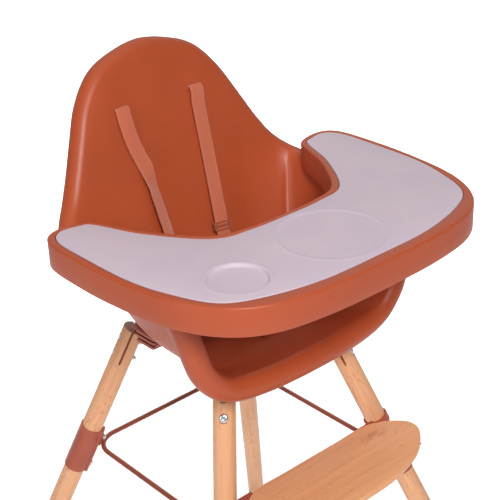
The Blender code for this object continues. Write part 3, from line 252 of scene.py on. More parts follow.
def beech(name, along, pale, deep, figure=1.0, end_grain=False, dark_patch=None):
    """Steamed beech under a matt lacquer: growth rings, slow streaks and short ray flecks along the grain."""
    pale, deep = (*pale, 1.0), (*deep, 1.0)
    look = Look(name, pale[:3], 0.42, Specular_IOR_Level=0.45, Coat_Weight=0.12, Coat_Roughness=0.30)
    stretch = [1.0, 1.0, 1.0]
    stretch[along] = 0.045
    where = look.place(tuple(stretch))
    sway = look.noise(where, 28.0, 3.0, 0.55)
    rings = look.node("TexWave", {"Vector": where, "Scale": 55.0, "Distortion": 5.0, "Detail": 3.0,
                                  "Detail Scale": 1.6, "Detail Roughness": 0.6},
                      wave_type="RINGS", rings_direction="XYZ"[along], wave_profile="SIN").outputs["Fac"]
    streaks = look.noise(where, 240.0, 4.0, 0.6)
    body = look.mix(look.span(sway, 0.35, 0.65, 0.0, 0.60 * figure), pale, deep)
    body = look.mix(look.span(rings, 0.25, 0.95, 0.0, 0.35 * figure), body, deep)
    dark = (deep[0] * 0.86, deep[1] * 0.76, deep[2] * 0.7, 1.0)
    body = look.mix(look.span(streaks, 0.50, 0.70, 0.0, 0.50 * figure), body, dark)
    short = [1.0, 1.0, 1.0]
    short[along] = 0.14
    cells = look.node("TexVoronoi", {"Vector": look.place(tuple(short)), "Scale": 420.0}, feature="F1")
    flecks = look.span(cells.outputs["Distance"], 0.30, 0.10, 0.0, 1.0)
    rare = look.span(look.noise(look.place(tuple(short)), 60.0, 2.0), 0.42, 0.56, 0.0, 0.85 * figure)
    spots = look.math("MULTIPLY", flecks, rare)
    body = look.mix(spots, body, (deep[0] * 0.62, deep[1] * 0.42, deep[2] * 0.36, 1.0))
    # A darker patch is mixed into the colour round one given point, fading out with ragged edges.
    if dark_patch:
        centre, reach = dark_patch
        moved = look.node("VectorMath", {0: look.place(), 1: centre}, operation="SUBTRACT").outputs["Vector"]
        scaled = look.node("VectorMath", {0: moved, 1: reach}, operation="DIVIDE").outputs["Vector"]
        distance = look.node("VectorMath", {0: scaled}, operation="LENGTH").outputs["Value"]
        near = look.span(distance, 1.0, 0.15, 0.0, 1.0)
        ragged = look.span(look.noise(look.place((20.0, 90.0, 20.0)), 2.0, 3.0, 0.6), 0.42, 0.60, 0.15, 1.0)
        patch = look.math("MULTIPLY", look.math("MULTIPLY", near, ragged), 0.85)
        body = look.mix(patch, body, (0.420, 0.150, 0.055, 1.0))
    if end_grain:
        facing = look.node("SeparateXYZ", {0: look.node("TexCoord").outputs["Normal"]}).outputs[along]
        pores = look.span(look.noise(look.place(), 900.0, 3.0), 0.35, 0.65, 0.0, 1.0)
        cut = look.mix(pores, (0.460, 0.270, 0.175, 1.0), (0.300, 0.165, 0.105, 1.0))
        body = look.mix(look.span(facing, 0.75, 0.95, 0.0, 1.0), body, cut)
    look.set("Base Color", body)
    look.set("Roughness", look.span(streaks, 0.3, 0.7, 0.36, 0.50))
    look.bump(streaks, 0.10, 0.0004)
    look.bump(spots, 0.12, -0.0003)
    return look.material


def plated(name, colour, roughness):
    """Bright zinc plate with fine turning marks and a few dull spots."""
    look = Look(name, colour, roughness, 1.0)
    marks = look.noise(look.place((1.0, 1.0, 14.0)), 700.0, 2.0)
    dull = look.noise(look.place(), 260.0, 3.0)
    look.set("Roughness", look.span(dull, 0.35, 0.70, roughness - 0.08, roughness + 0.16))
    tone = tuple(c * 0.80 for c in colour) + (1.0,)
    look.set("Base Color", look.mix(look.span(dull, 0.40, 0.75, 0.0, 0.8), look.colour, tone))
    look.bump(marks, 0.10, 0.0002)
    return look.material


def silicone(name, colour):
    """Matt silicone: a powdery sheen, a fine moulded grain and slight blooming."""
    look = Look(name, colour, 0.58, Specular_IOR_Level=0.42, Sheen_Weight=0.18, Sheen_Roughness=0.45)
    where = look.place()
    bloom = look.span(look.noise(where, 14.0, 4.0, 0.6), 0.3, 0.7, 0.0, 1.0)
    cool = (colour[0] * 0.965, colour[1] * 0.965, colour[2] * 1.00, 1.0)
    warm = (colour[0] * 1.03, colour[1] * 1.02, colour[2] * 1.00, 1.0)
    dust = look.noise(where, 900.0, 2.0)
    body = look.mix(bloom, cool, warm)
    dusted = look.mix(look.span(dust, 0.68, 0.80, 0.0, 0.25), body, (0.75, 0.70, 0.72, 1.0))
    look.set("Base Color", dusted)
    look.set("Roughness", look.span(look.noise(where, 40.0, 4.0), 0.3, 0.7, 0.52, 0.64))
    look.bump(look.noise(where, 1100.0, 2.0), 0.07, 0.0004)
    look.bump(look.noise(where, 18.0, 1.0), 0.06, 0.004)
    return look.material


def webbing(name, colour):
    """Woven polyester tape: ribs across it, a fine warp along it, firm selvedges and two rows of stitches."""
    look = Look(name, colour, 0.72, Specular_IOR_Level=0.35, Sheen_Weight=0.45, Sheen_Roughness=0.4)
    where = look.place((1, 1, 1), "webbing_place")
    parts = look.node("SeparateXYZ", {0: where})
    side, run = parts.outputs[0], parts.outputs[1]
    ribs = look.node("TexWave", {"Vector": where, "Scale": 260.0, "Distortion": 0.6, "Detail": 1.0},
                     wave_type="BANDS", bands_direction="Y").outputs["Fac"]
    warp = look.node("TexWave", {"Vector": where, "Scale": 400.0, "Distortion": 0.8, "Detail": 1.0},
                     wave_type="BANDS", bands_direction="X").outputs["Fac"]
    weave = look.math("ADD", look.math("MULTIPLY", ribs, 0.6), look.math("MULTIPLY", warp, 0.4))
    from_middle = look.math("ABSOLUTE", side, 0.0)
    from_seam = look.math("ABSOLUTE", look.math("SUBTRACT", from_middle, SEAM_AT), 0.0)
    seam = look.span(from_seam, 0.0003, 0.0006, 1.0, 0.0)
    step = look.math("FRACT", look.math("MULTIPLY", run, 330.0), 0.0)
    stitches = look.math("MULTIPLY", seam, look.span(step, 0.55, 0.65, 1.0, 0.0))
    dark = tuple(c * 0.66 for c in colour) + (1.0,)
    light = tuple(min(1.0, c * 1.14) for c in colour) + (1.0,)
    body = look.mix(look.span(weave, 0.15, 0.85, 0.0, 1.0), dark, light)
    fade = look.span(look.noise(look.place((1, 1, 1)), 38.0, 3.0), 0.3, 0.7, 0.0, 0.22)
    body = look.mix(fade, body, tuple(c * 0.8 for c in colour) + (1.0,))
    body = look.mix(look.math("MULTIPLY", stitches, 0.22), body, (0.80, 0.30, 0.19, 1.0))
    body = look.mix(look.span(from_middle, 0.0098, 0.0104, 0.0, 0.30), body, dark)
    look.set("Base Color", body)
    look.bump(weave, 0.55, 0.0005)
    look.bump(stitches, 0.5, 0.0005)
    return look.material


RUST = (0.430, 0.073, 0.022)
LOOKS = {
    "rust_plastic": moulded("rust_moulding", RUST, 0.41),
    "rust_steel": coated_steel("rust_powder_coat", (0.380, 0.066, 0.028), 0.38),
    "zinc": plated("zinc_plate", (0.78, 0.79, 0.81), 0.26),
    "silicone": silicone("mat_silicone", (0.590, 0.482, 0.552)),
    "webbing": webbing("rust_webbing", (0.640, 0.160, 0.080)),
    "buckle_plastic": moulded("buckle_moulding", (0.340, 0.075, 0.035), 0.36, 0.08),
    "glide_plastic": moulded("glide_moulding", (0.300, 0.280, 0.270), 0.55, 0.12),
}
ROD_STEEL = coated_steel("rust_rod_coat", (0.270, 0.052, 0.024), 0.36)
LEG_BEECH = beech("beech_legs", 2, (0.850, 0.475, 0.265), (0.690, 0.320, 0.155), 1.0, True)
BOARD_BEECH = beech("beech_board", 0, (0.820, 0.400, 0.195), (0.700, 0.295, 0.125), 0.6, False,
                    ((0.090, -0.180, 0.4430), (0.030, 0.012, 0.02)))


# ---------------------------------------------------------------- mesh helpers
def make_object(name, points, faces, sharp=30.0):
    mesh = bpy.data.meshes.new(name)
    mesh.from_pydata([tuple(p) for p in points], [], faces)
    work = bmesh.new()
    work.from_mesh(mesh)
    bmesh.ops.recalc_face_normals(work, faces=work.faces)
    work.to_mesh(mesh)
    work.free()
    mesh.shade_smooth()
    mesh.set_sharp_from_angle(angle=math.radians(sharp))
    made = bpy.data.objects.new(name, mesh)
    bpy.context.collection.objects.link(made)
    return made


def loft_data(rings, closed_path=False):
    count = len(rings[0])
    points = [p for ring in rings for p in ring]
    faces = []
    spans = len(rings) if closed_path else len(rings) - 1
    for row in range(spans):
        low, high = row * count, ((row + 1) % len(rings)) * count
        for i in range(count):
            j = (i + 1) % count
            faces.append((low + i, low + j, high + j, high + i))
    if not closed_path:
        faces.append(tuple(reversed(range(count))))
        faces.append(tuple(range(len(points) - count, len(points))))
    return points, faces


def merged(pieces):
    points, faces = [], []
    for some_points, some_faces in pieces:
        start = len(points)
        points.extend(some_points)
        faces.extend(tuple(start + i for i in face) for face in some_faces)
    return points, faces


def placed(data, matrix):
    points, faces = data
    return [matrix @ Vector(p) for p in points], faces


def turned(profile, sides):
    angles = [math.tau * i / sides for i in range(sides)]
    return loft_data([[Vector((r * math.cos(a), r * math.sin(a), h)) for a in angles] for r, h in profile])


def rod(radius, start, end, sides=12):
    return turned(((radius, start), (radius, end)), sides)


def block(low, high):
    corners = ((low[0], low[1]), (high[0], low[1]), (high[0], high[1]), (low[0], high[1]))
    return loft_data([[Vector((x, y, z)) for x, y in corners] for z in (low[2], high[2])])


def apply_modifiers(target, sharp=30.0):
    bpy.context.view_layer.update()
    graph = bpy.context.evaluated_depsgraph_get()
    mesh = bpy.data.meshes.new_from_object(target.evaluated_get(graph))
    target.modifiers.clear()
    target.data = mesh
    mesh.shade_smooth()
    mesh.set_sharp_from_angle(angle=math.radians(sharp))
    return target


def boolean(target, data, operation="DIFFERENCE", sharp=30.0):
    tool = make_object("tool", *data)
    step = target.modifiers.new("boolean", "BOOLEAN")
    step.operation = operation
    step.solver = "EXACT"
    step.object = tool
    apply_modifiers(target, sharp)
    bpy.data.objects.remove(tool)
    return target


def soften(target, width, segments=2, angle=35.0, weld=False):
    """Bevelled edges that stay a modifier rather than being applied."""
    if weld:
        close = target.modifiers.new("weld", "WELD")
        close.merge_threshold = 0.00002
    edge = target.modifiers.new("edge", "BEVEL")
    edge.width = width
    edge.segments = segments
    edge.limit_method = "ANGLE"
    edge.angle_limit = math.radians(angle)
    edge.use_clamp_overlap = True
    edge.harden_normals = True
    return target


def finish_piece(piece, look, body, nodes=()):
    piece.data.materials.clear()
    piece.data.materials.append(look)
    if nodes:
        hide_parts(*nodes)
    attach(piece, body)
    return piece


def smooth_path(keys, steps, closed=False):
    keys = np.array(keys, dtype=float)
    count = len(keys)
    path = []
    for i in range(count if closed else count - 1):
        if closed:
            p0, p1, p2, p3 = (keys[(i + k) % count] for k in (-1, 0, 1, 2))
        else:
            p1, p2 = keys[i], keys[i + 1]
            p0 = keys[i - 1] if i else 2 * p1 - p2
            p3 = keys[i + 2] if i + 2 < count else 2 * p2 - p1
        for step in range(steps):
            t = step / steps
            path.append(0.5 * (2 * p1 + (p2 - p0) * t + (2 * p0 - 5 * p1 + 4 * p2 - p3) * t * t
                               + (3 * p1 - p0 - 3 * p2 + p3) * t ** 3))
    if not closed:
        path.append(keys[-1])
    return np.array(path)


def mirrored_loop(half_keys, steps):
    keys = [tuple(k) for k in half_keys]
    return smooth_path(keys + [(-k[0], *k[1:]) for k in keys[-2:0:-1]], steps, closed=True)


def unit(rows):
    return rows / np.linalg.norm(rows, axis=-1)[..., None]


def inset_loop(loop, distance):
    ahead = unit(np.roll(loop, -1, axis=0) - np.roll(loop, 1, axis=0))
    normal = np.stack([-ahead[:, 1], ahead[:, 0]], axis=1)
    area = 0.5 * np.sum(loop[:, 0] * np.roll(loop[:, 1], -1) - np.roll(loop[:, 0], -1) * loop[:, 1])
    return loop + normal * distance * np.sign(area)


def level(loop, height):
    return [Vector((x, y, height)) for x, y in loop]


def circle(centre, radius, height, sides):
    return [Vector((centre[0] + radius * math.cos(math.tau * i / sides),
                    centre[1] + radius * math.sin(math.tau * i / sides), height)) for i in range(sides)]


# ---------------------------------------------------------------- leg frames
def leg_frame(side_x, side_y):
    up = Vector((-side_x * LEG_SLOPE, -side_y * LEG_SLOPE, 1.0)).normalized()
    outward = Vector((side_x, side_y, 0.0)).normalized()
    outward = (outward - outward.dot(up) * up).normalized()
    made = Matrix((outward, up.cross(outward), up)).transposed().to_4x4()
    made.translation = Vector((side_x * LEG_SPREAD, side_y * LEG_SPREAD, 0.0))
    return made


UP_PER_METRE = 1.0 / math.sqrt(1.0 + 2.0 * LEG_SLOPE ** 2)
TURN_TO_X = Matrix.Rotation(math.pi / 2, 4, "Y")


def along(height):
    return height / UP_PER_METRE


LEG_TOP, LEG_SPLIT = along(LEG_TOP_Z), along(LEG_SPLIT_Z)


# ---------------------------------------------------------------- seat
def seat_rows(steps):
    """Rows of points over the bucket's face, from the pan's middle out over the rolled rim."""
    rim = mirrored_loop(RIM_KEYS, steps)
    focus = mirrored_loop(FOCUS_KEYS, steps)
    foot = mirrored_loop([(x, y, PAN_Z + rise) for x, y, rise in FOOT_KEYS], steps)
    tangent = unit(np.roll(rim, -1, axis=0) - np.roll(rim, 1, axis=0))
    rise = rim - focus
    rise = unit(rise - np.sum(rise * tangent, axis=1)[:, None] * tangent)
    out = unit(np.cross(rise, tangent))
    centre = np.array((*PAN_CENTRE, PAN_Z))
    start = rim - ROLL_RADIUS * out
    floor_edge = centre + 0.70 * (foot - centre)
    reach = np.linalg.norm(start - foot, axis=1)[:, None]
    lift = start - unit(rise + (start - foot) / reach) * reach * 0.45
    spread = floor_edge + 0.80 * (foot - floor_edge)
    rows = [centre + f * (foot - centre) for f in (0.12, 0.22, 0.34, 0.46, 0.58)]
    for t in np.linspace(0.0, 1.0, 25)[:-1]:
        rows.append((1 - t) ** 3 * floor_edge + 3 * (1 - t) ** 2 * t * spread
                    + 3 * (1 - t) * t * t * lift + t ** 3 * start)
    for angle in np.linspace(-math.pi / 2, math.pi / 2, 19):
        rows.append(rim + ROLL_RADIUS * (math.cos(angle) * rise + math.sin(angle) * out))
    rows += [rim + ROLL_RADIUS * out - ROLL_SKIRT * share * rise for share in (0.5, 1.0)]
    return centre, rows


def seat_moulding():
    centre, rows = seat_rows(7)
    count = len(rows[0])
    points = [tuple(centre)] + [tuple(p) for row in rows for p in row]
    faces = [(0, 1 + i, 1 + (i + 1) % count) for i in range(count)]
    for r in range(len(rows) - 1):
        low = 1 + r * count
        faces += [(low + i, low + count + i, low + count + (i + 1) % count, low + (i + 1) % count)
                  for i in range(count)]
    seat = make_object("seat_moulding", points, faces)
    if seat.data.polygons[0].normal.z < 0:
        seat.data.flip_normals()
    wall = seat.modifiers.new("wall", "SOLIDIFY")
    wall.thickness = SEAT_WALL
    wall.offset = -1.0
    apply_modifiers(seat)
    soften(seat, 0.0012, 3, 50.0).modifiers["edge"].harden_normals = False
    apply_modifiers(seat)
    long, short = STRAP_SLOT_HALF
    low, high = PAN_Z - 0.02, PAN_Z + 0.02
    cutters = []
    # Each shoulder slot has a wide mouth at the front and fits the webbing closely at the back.
    for sign in SIDES.values():
        x = sign * SLOT_CENTRE_X
        cutters.append(block((x - SLOT_MOUTH_HALF, SLOT_FRONT_Y, SLOT_CENTRE_Z - SLOT_MOUTH_LOW),
                             (x + SLOT_MOUTH_HALF, SLOT_STEP_Y, SLOT_CENTRE_Z + SLOT_MOUTH_HIGH)))
        cutters.append(block((x - SLOT_SNUG_HALF, 0.12, SLOT_CENTRE_Z - SLOT_SNUG),
                             (x + SLOT_SNUG_HALF, SLOT_BACK_Y, SLOT_CENTRE_Z + SLOT_SNUG)))
        x, y = sign * WAIST_SLOT[0], WAIST_SLOT[1]
        cutters.append(block((x - short, y - long, low), (x + short, y + long, high)))
    cutters.append(block((-long, CROTCH_SLOT_Y - short, low), (long, CROTCH_SLOT_Y + short, high)))
    for x, y in SEAT_SCREWS:
        cutters.append(placed(rod(SCREW_HOLE_RADIUS, -0.01, 0.01, 20), Matrix.Translation((x, y, PAN_Z))))
    boolean(seat, merged(cutters))
    return finish_piece(seat, LOOKS["rust_plastic"], "chair", ["seat_shell"])


# ---------------------------------------------------------------- tray and mat
def rounded_down(loop, radius_in, drop, top, steps):
    """Rings that carry a flat top over a soft edge to the loop, a little lower."""
    rings = []
    for angle in np.linspace(0.0, math.pi / 2, steps):
        inset = radius_in * (1 - math.sin(angle))
        rings.append(level(inset_loop(loop, inset), top - drop * (1 - math.cos(angle))))
    return rings


def tray_moulding():
    outer = mirrored_loop(TRAY_KEYS, 10)
    recess = mirrored_loop(MAT_KEYS, 10)
    inner = inset_loop(outer, TRAY_WALL)
    # Each entry is a loop, how far it moves inwards, and its height.
    steps = [(recess, 0.0012, TRAY_RECESS), (recess, 0.0004, TRAY_RECESS + 0.0004),
             (recess, 0, TRAY_RECESS + 0.0012), (recess, 0, TRAY_TOP - 0.0008),
             (recess, -0.0002, TRAY_TOP - 0.0003), (recess, -0.0007, TRAY_TOP)]
    rings = [level(inset_loop(loop, inset), height) for loop, inset, height in steps]
    rings += rounded_down(outer, 0.0028, 0.0032, TRAY_TOP, 8)
    steps = [(outer, 0, TRAY_BOTTOM + 0.016), (outer, 0, TRAY_BOTTOM + 0.0014),
             (outer, 0.0004, TRAY_BOTTOM + 0.0004), (outer, 0.0013, TRAY_BOTTOM),
             (outer, 0.0020, TRAY_BOTTOM), (outer, 0.0028, TRAY_BOTTOM + 0.0006),
             (inner, 0, TRAY_BOTTOM + 0.0014), (inner, 0, TRAY_CEILING - 0.0015),
             (inner, 0.0005, TRAY_CEILING - 0.0004), (inner, 0.0016, TRAY_CEILING)]
    rings += [level(inset_loop(loop, inset), height) for loop, inset, height in steps]
    tray = make_object("tray_moulding", *loft_data(rings), sharp=40.0)
    notches = []
    for sign in SIDES.values():
        low, high = sorted((sign * 0.1745, sign * 0.2115))
        ends = [(low, TRAY_BOTTOM - 0.01), (high, TRAY_BOTTOM - 0.01)]
        bend = 0.006
        for x, turn in ((high - bend, 0), (low + bend, 1)):
            ends += [(x + bend * math.cos(math.pi / 2 * (turn + s / 5)),
                      ARM_NOTCH_TOP - bend + bend * math.sin(math.pi / 2 * (turn + s / 5))) for s in range(6)]
        notches.append(loft_data([[Vector((x, y, z)) for x, z in ends] for y in (0.026, 0.080)]))
    boolean(tray, merged(notches), sharp=40.0)
    return finish_piece(tray, LOOKS["rust_plastic"], "tray", ["tray_shell"])


def mat_sheet():
    """The mat: a flat face with holes for two turned patches, the cup's well and the plate's ring."""
    edge = inset_loop(mirrored_loop(MAT_KEYS, 10), MAT_GAP)
    sides = 96
    cup = [(0.0425, 0.0), (0.0412, 0.00010), (0.0398, 0.00035), (0.0384, 0.00055), (0.0372, 0.00062),
           (0.0362, 0.00050), (0.0354, 0.00010), (0.0348, -0.0006), (0.0343, -0.0016), (0.0338, -0.0026),
           (0.0331, -0.0032), (0.0321, -0.0035), (0.0306, -0.0036), (0.0150, -0.0036)]
    low, high = PLATE_RING_RADII
    middle = (low + high) / 2
    plate = [(high + 0.0022, 0.0), (high + 0.0008, 0.00012), (high - 0.0008, 0.00042),
             (middle + 0.0009, 0.00060), (middle - 0.0009, 0.00060), (low + 0.0008, 0.00030),
             (low - 0.0004, -0.00010), (low - 0.0018, -0.00028), (low - 0.0040, -0.00034), (0.030, -0.00034)]
    work = bmesh.new()

    def ring(points):
        verts = [work.verts.new(p) for p in points]
        return verts, [work.edges.new((verts[i], verts[(i + 1) % len(verts)])) for i in range(len(verts))]

    def skin(first, second):
        for i in range(len(first)):
            j = (i + 1) % len(first)
            work.faces.new((first[i], first[j], second[j], second[i]))

    border = []
    under = [work.verts.new(p) for p in level(edge, TRAY_RECESS + FIT_GAP)]
    work.faces.new(under)
    last = under
    for loop in [level(edge, MAT_TOP - 0.0012)] + rounded_down(edge, 0.0012, 0.0012, MAT_TOP, 5)[::-1]:
        verts, edges = ring(loop)
        skin(last, verts)
        last, border = verts, edges
    border = list(border)
    for centre, profile in ((CUP_CENTRE, cup), (PLATE_RING_CENTRE, plate)):
        last, edges = ring(circle(centre, profile[0][0], MAT_TOP, sides))
        border += edges
        for radius, height in profile[1:]:
            verts, _ = ring(circle(centre, radius, MAT_TOP + height, sides))
            skin(last, verts)
            last = verts
        work.faces.new(last)
    bmesh.ops.triangle_fill(work, use_beauty=True, edges=border)
    bmesh.ops.recalc_face_normals(work, faces=work.faces)
    mesh = bpy.data.meshes.new("mat_sheet")
    work.to_mesh(mesh)
    work.free()
    mesh.shade_smooth()
    mesh.set_sharp_from_angle(angle=math.radians(40))
    sheet = bpy.data.objects.new("mat_sheet", mesh)
    bpy.context.collection.objects.link(sheet)
    return finish_piece(sheet, LOOKS["silicone"], "mat", ["tray_mat"])


# ---------------------------------------------------------------- legs
def leg_pieces(corner, frame_matrix):
    sides = 64
    reach = 2 * LEG_RADIUS
    soft = [(LEG_RADIUS - 0.0007 * (1 - math.cos(a)), LEG_TOP - 0.0007 * (1 - math.sin(a)))
            for a in np.linspace(0.0, math.pi / 2, 5)]
    straight = [(LEG_RADIUS, LEG_SPLIT + FIT_GAP), (LEG_RADIUS, LEG_TOP - 0.06)]
    upper = make_object("dowel_upper_" + corner, *turned(straight + soft, sides))
    slot_end = LEG_TOP - SLOT_DEPTH
    rounded = [(-SLOT_WIDTH / 2, LEG_TOP + reach)]
    rounded += [(-SLOT_WIDTH / 2 * math.cos(a), slot_end + SLOT_WIDTH / 2 * (1 - math.sin(a)))
                for a in np.linspace(0.0, math.pi, 9)]
    rounded += [(SLOT_WIDTH / 2, LEG_TOP + reach)]
    cutters = [loft_data([[Vector((x, y, z)) for x, z in rounded] for y in (-reach, reach)])]
    for depth in BOLT_DEPTHS.values():
        hole = turned(((0.0034, -reach), (0.0034, LEG_RADIUS - BOLT_RECESS),
                       (BOLT_RECESS_RADIUS, LEG_RADIUS - BOLT_RECESS), (BOLT_RECESS_RADIUS, reach)), 40)
        cutters.append(placed(hole, Matrix.Translation((0, 0, LEG_TOP - depth)) @ TURN_TO_X))
    boolean(upper, merged(cutters))
    upper.matrix_world = frame_matrix
    finish_piece(upper, LEG_BEECH, "chair", ["upper_leg_" + corner])
    taper_top = along(SLEEVE_BOTTOM_Z) - 0.030
    lower = make_object("dowel_lower_" + corner,
                        *turned([(LEG_FOOT_RADIUS - 0.0008, 0.0125), (LEG_FOOT_RADIUS, 0.0133),
                                 (LEG_RADIUS, taper_top), (LEG_RADIUS, LEG_SPLIT)], sides))
    lower.matrix_world = frame_matrix
    finish_piece(lower, LEG_BEECH, "chair", ["lower_leg_" + corner])


def sleeve(corner, frame_matrix):
    half_spine = 0.007
    start = math.pi - math.asin(half_spine / SLEEVE_RADIUS)
    outline = [(SLEEVE_RADIUS * math.cos(a), SLEEVE_RADIUS * math.sin(a))
               for a in np.linspace(-start, start, 61)]
    bend = 0.0014
    for turn, y in ((1, half_spine - bend), (2, bend - half_spine)):
        outline += [(-SLEEVE_SPINE + bend + bend * math.cos(math.pi / 2 * (turn + s / 4)),
                     y + bend * math.sin(math.pi / 2 * (turn + s / 4))) for s in range(5)]
    low, high = along(SLEEVE_BOTTOM_Z), along(SLEEVE_TOP_Z)
    ends = [[Vector((x, y, z)) for x, y in outline] for z in (low, high)]
    tube = make_object("sleeve_" + corner, *loft_data(ends))
    cutters = [rod(LEG_RADIUS + FIT_GAP, low - 0.01, high + 0.01, 64)]
    # The folded sheet's seam runs down one side of the spine.
    seam = half_spine + 0.0006
    cutters.append(block((-SLEEVE_SPINE + 0.0006, seam, low - 0.01),
                         (-SLEEVE_RADIUS * 0.55, seam + 0.0009, high + 0.01)))
    for offset in (-SLEEVE_SCREW_OFFSET, SLEEVE_SCREW_OFFSET):
        hole = Matrix.Translation((-0.020, 0, (low + high) / 2 + offset)) @ TURN_TO_X
        cutters.append(placed(rod(0.0024, -0.003, 0.012, 16), hole))
    for cutter in cutters:
        boolean(tube, cutter)
    soften(tube, 0.0004, 2, 40.0)
    tube.matrix_world = frame_matrix
    finish_piece(tube, LOOKS["rust_steel"], "chair", ["leg_sleeve_" + corner])
    for name, offset in (("lower", -SLEEVE_SCREW_OFFSET), ("upper", SLEEVE_SCREW_OFFSET)):
        lug = LUG_THICKNESS + FIT_GAP if name == "upper" else 0.0
        spot = Matrix.Translation((-SLEEVE_SPINE - lug - 0.0001, 0, (low + high) / 2 + offset))
        screw = button_screw("sleeve_screw_" + corner + "_" + name, 0.0042, 0.0030, 0.010 + lug)
        screw.matrix_world = frame_matrix @ spot @ Matrix.Rotation(-math.pi / 2, 4, "Y")
        finish_piece(screw, LOOKS["zinc"], "chair")


# ---------------------------------------------------------------- fasteners
def button_head(radius, height, socket):
    """Domed head from its rim to a hex socket, as (radius, height) pairs above the seat of the head."""
    profile = [(radius, 0.0), (radius, height * 0.22)]
    profile += [(radius * math.cos(a) * 0.98, height * (0.22 + 0.78 * math.sin(a)))
                for a in np.linspace(0.15, 1.12, 7)]
    profile[-1] = (max(profile[-1][0], socket * 1.12), height)
    return profile


def hex_well(radius, low, high):
    return turned(((radius, low), (radius, high)), 6)


def button_screw(name, radius, height, shank):
    socket = radius * 0.50
    profile = [(radius * 0.42, -shank), (radius * 0.48, -shank + 0.0004), (radius * 0.48, 0.0)]
    screw = make_object(name, *turned(profile + button_head(radius, height, socket), 32))
    return boolean(screw, hex_well(socket, height * 0.35, height * 2))


def leg_bolt(corner, which, frame_matrix):
    """Socket bolt whose domed head sits in a counterbore, with a cap nut at the inner end of its shank."""
    end, seat = LEG_RADIUS + FIT_GAP, LEG_RADIUS + FIT_GAP - BOLT_RECESS
    profile = [(0.0008, -end - 0.0040), (0.0019, -end - 0.0036), (0.0026, -end - 0.0028),
               (0.0028, -end - 0.0022), (0.0030, -end - 0.0020), (0.0030, seat),
               (BOLT_HEAD_RADIUS, seat), (BOLT_HEAD_RADIUS, seat + 0.0009)]
    profile += [(BOLT_HEAD_RADIUS * math.cos(a), seat + 0.0009 + 0.0020 * math.sin(a))
                for a in np.linspace(0.15, 0.95, 6)]
    bolt = make_object("bolt_" + corner + "_" + which, *turned(profile, 40))
    boolean(bolt, hex_well(0.0027, seat + 0.0006, seat + 0.008))
    nut = ((0.0034, -end - 0.0021), (0.0037, -end - 0.0018), (0.0037, -end - 0.0002))
    boolean(bolt, turned(nut, 6), "UNION")
    bolt.matrix_world = frame_matrix @ Matrix.Translation((0, 0, LEG_TOP - BOLT_DEPTHS[which])) @ TURN_TO_X
    return finish_piece(bolt, LOOKS["zinc"], "chair", ["leg_bolt_" + corner + "_" + which])


# ---------------------------------------------------------------- ring brace
def ring_rod(frames):
    def on_bend(x, y, quarters):
        angle = math.pi / 2 * quarters
        return (x * (RING_HALF - RING_BEND) + RING_BEND * math.cos(angle),
                y * (RING_HALF - RING_BEND) + RING_BEND * math.sin(angle))

    steps = 16
    path = []
    for turn, (x, y) in enumerate(BEND_SIGNS):
        path += [on_bend(x, y, turn + step / steps) for step in range(steps + 1)]
        end = np.array(path[-1])
        following = (turn + 1) % len(BEND_SIGNS)
        begin = np.array(on_bend(*BEND_SIGNS[following], following))
        path += [tuple(end + (begin - end) * share) for share in (0.25, 0.5, 0.75)]
    path = np.array(path)
    direction = unit(unit(np.roll(path, -1, axis=0) - path) + unit(path - np.roll(path, 1, axis=0)))
    sides = 20
    rings = []
    for spot, way in zip(path, direction):
        across = Vector((way[1], -way[0], 0.0))
        middle = Vector((spot[0], spot[1], RING_Z))
        rings.append([middle + ROD_RADIUS * (across * math.cos(math.tau * i / sides)
                                             + Vector((0, 0, 1)) * math.sin(math.tau * i / sides))
                      for i in range(sides)])
    brace = make_object("ring_rod", *loft_data(rings, closed_path=True))
    middle = (along(SLEEVE_BOTTOM_Z) + along(SLEEVE_TOP_Z)) / 2
    face = -SLEEVE_SPINE - FIT_GAP
    bend = RING_HALF - RING_BEND + RING_BEND * math.sqrt(0.5)
    corner = frames["rear_left"].inverted() @ Vector((bend, bend, RING_Z))
    for made in frames.values():
        top = middle + SLEEVE_SCREW_OFFSET
        outline = [(-LUG_HALF, corner.z - 0.005), (LUG_HALF, corner.z - 0.005), (LUG_HALF, top)]
        outline += [(LUG_HALF * math.cos(a), top + LUG_HALF * math.sin(a))
                    for a in np.linspace(0.2, math.pi - 0.2, 9)]
        outline += [(-LUG_HALF, top)]
        plate = loft_data([[Vector((x, y, z)) for y, z in outline] for x in (face - LUG_THICKNESS, face)])
        boolean(brace, placed(plate, made), "UNION")
        foot = block((corner.x, -0.0036, corner.z - 0.0027),
                     (face - LUG_THICKNESS / 2, 0.0036, corner.z + 0.0027))
        boolean(brace, placed(foot, made), "UNION")
        # A small weld bead where the rod meets its lug.
        bead = turned(((0.0018, -0.0046), (0.0030, -0.0030), (0.0034, 0.0), (0.0030, 0.0030),
                       (0.0018, 0.0046)), 14)
        spot = Matrix.Translation((corner.x + 0.0022, 0, corner.z)) @ Matrix.Rotation(math.pi / 2, 4, "X")
        boolean(brace, placed(bead, made @ spot), "UNION")
    soften(brace, 0.0003, 2, 45.0)
    return finish_piece(brace, ROD_STEEL, "chair", ["ring_brace"])


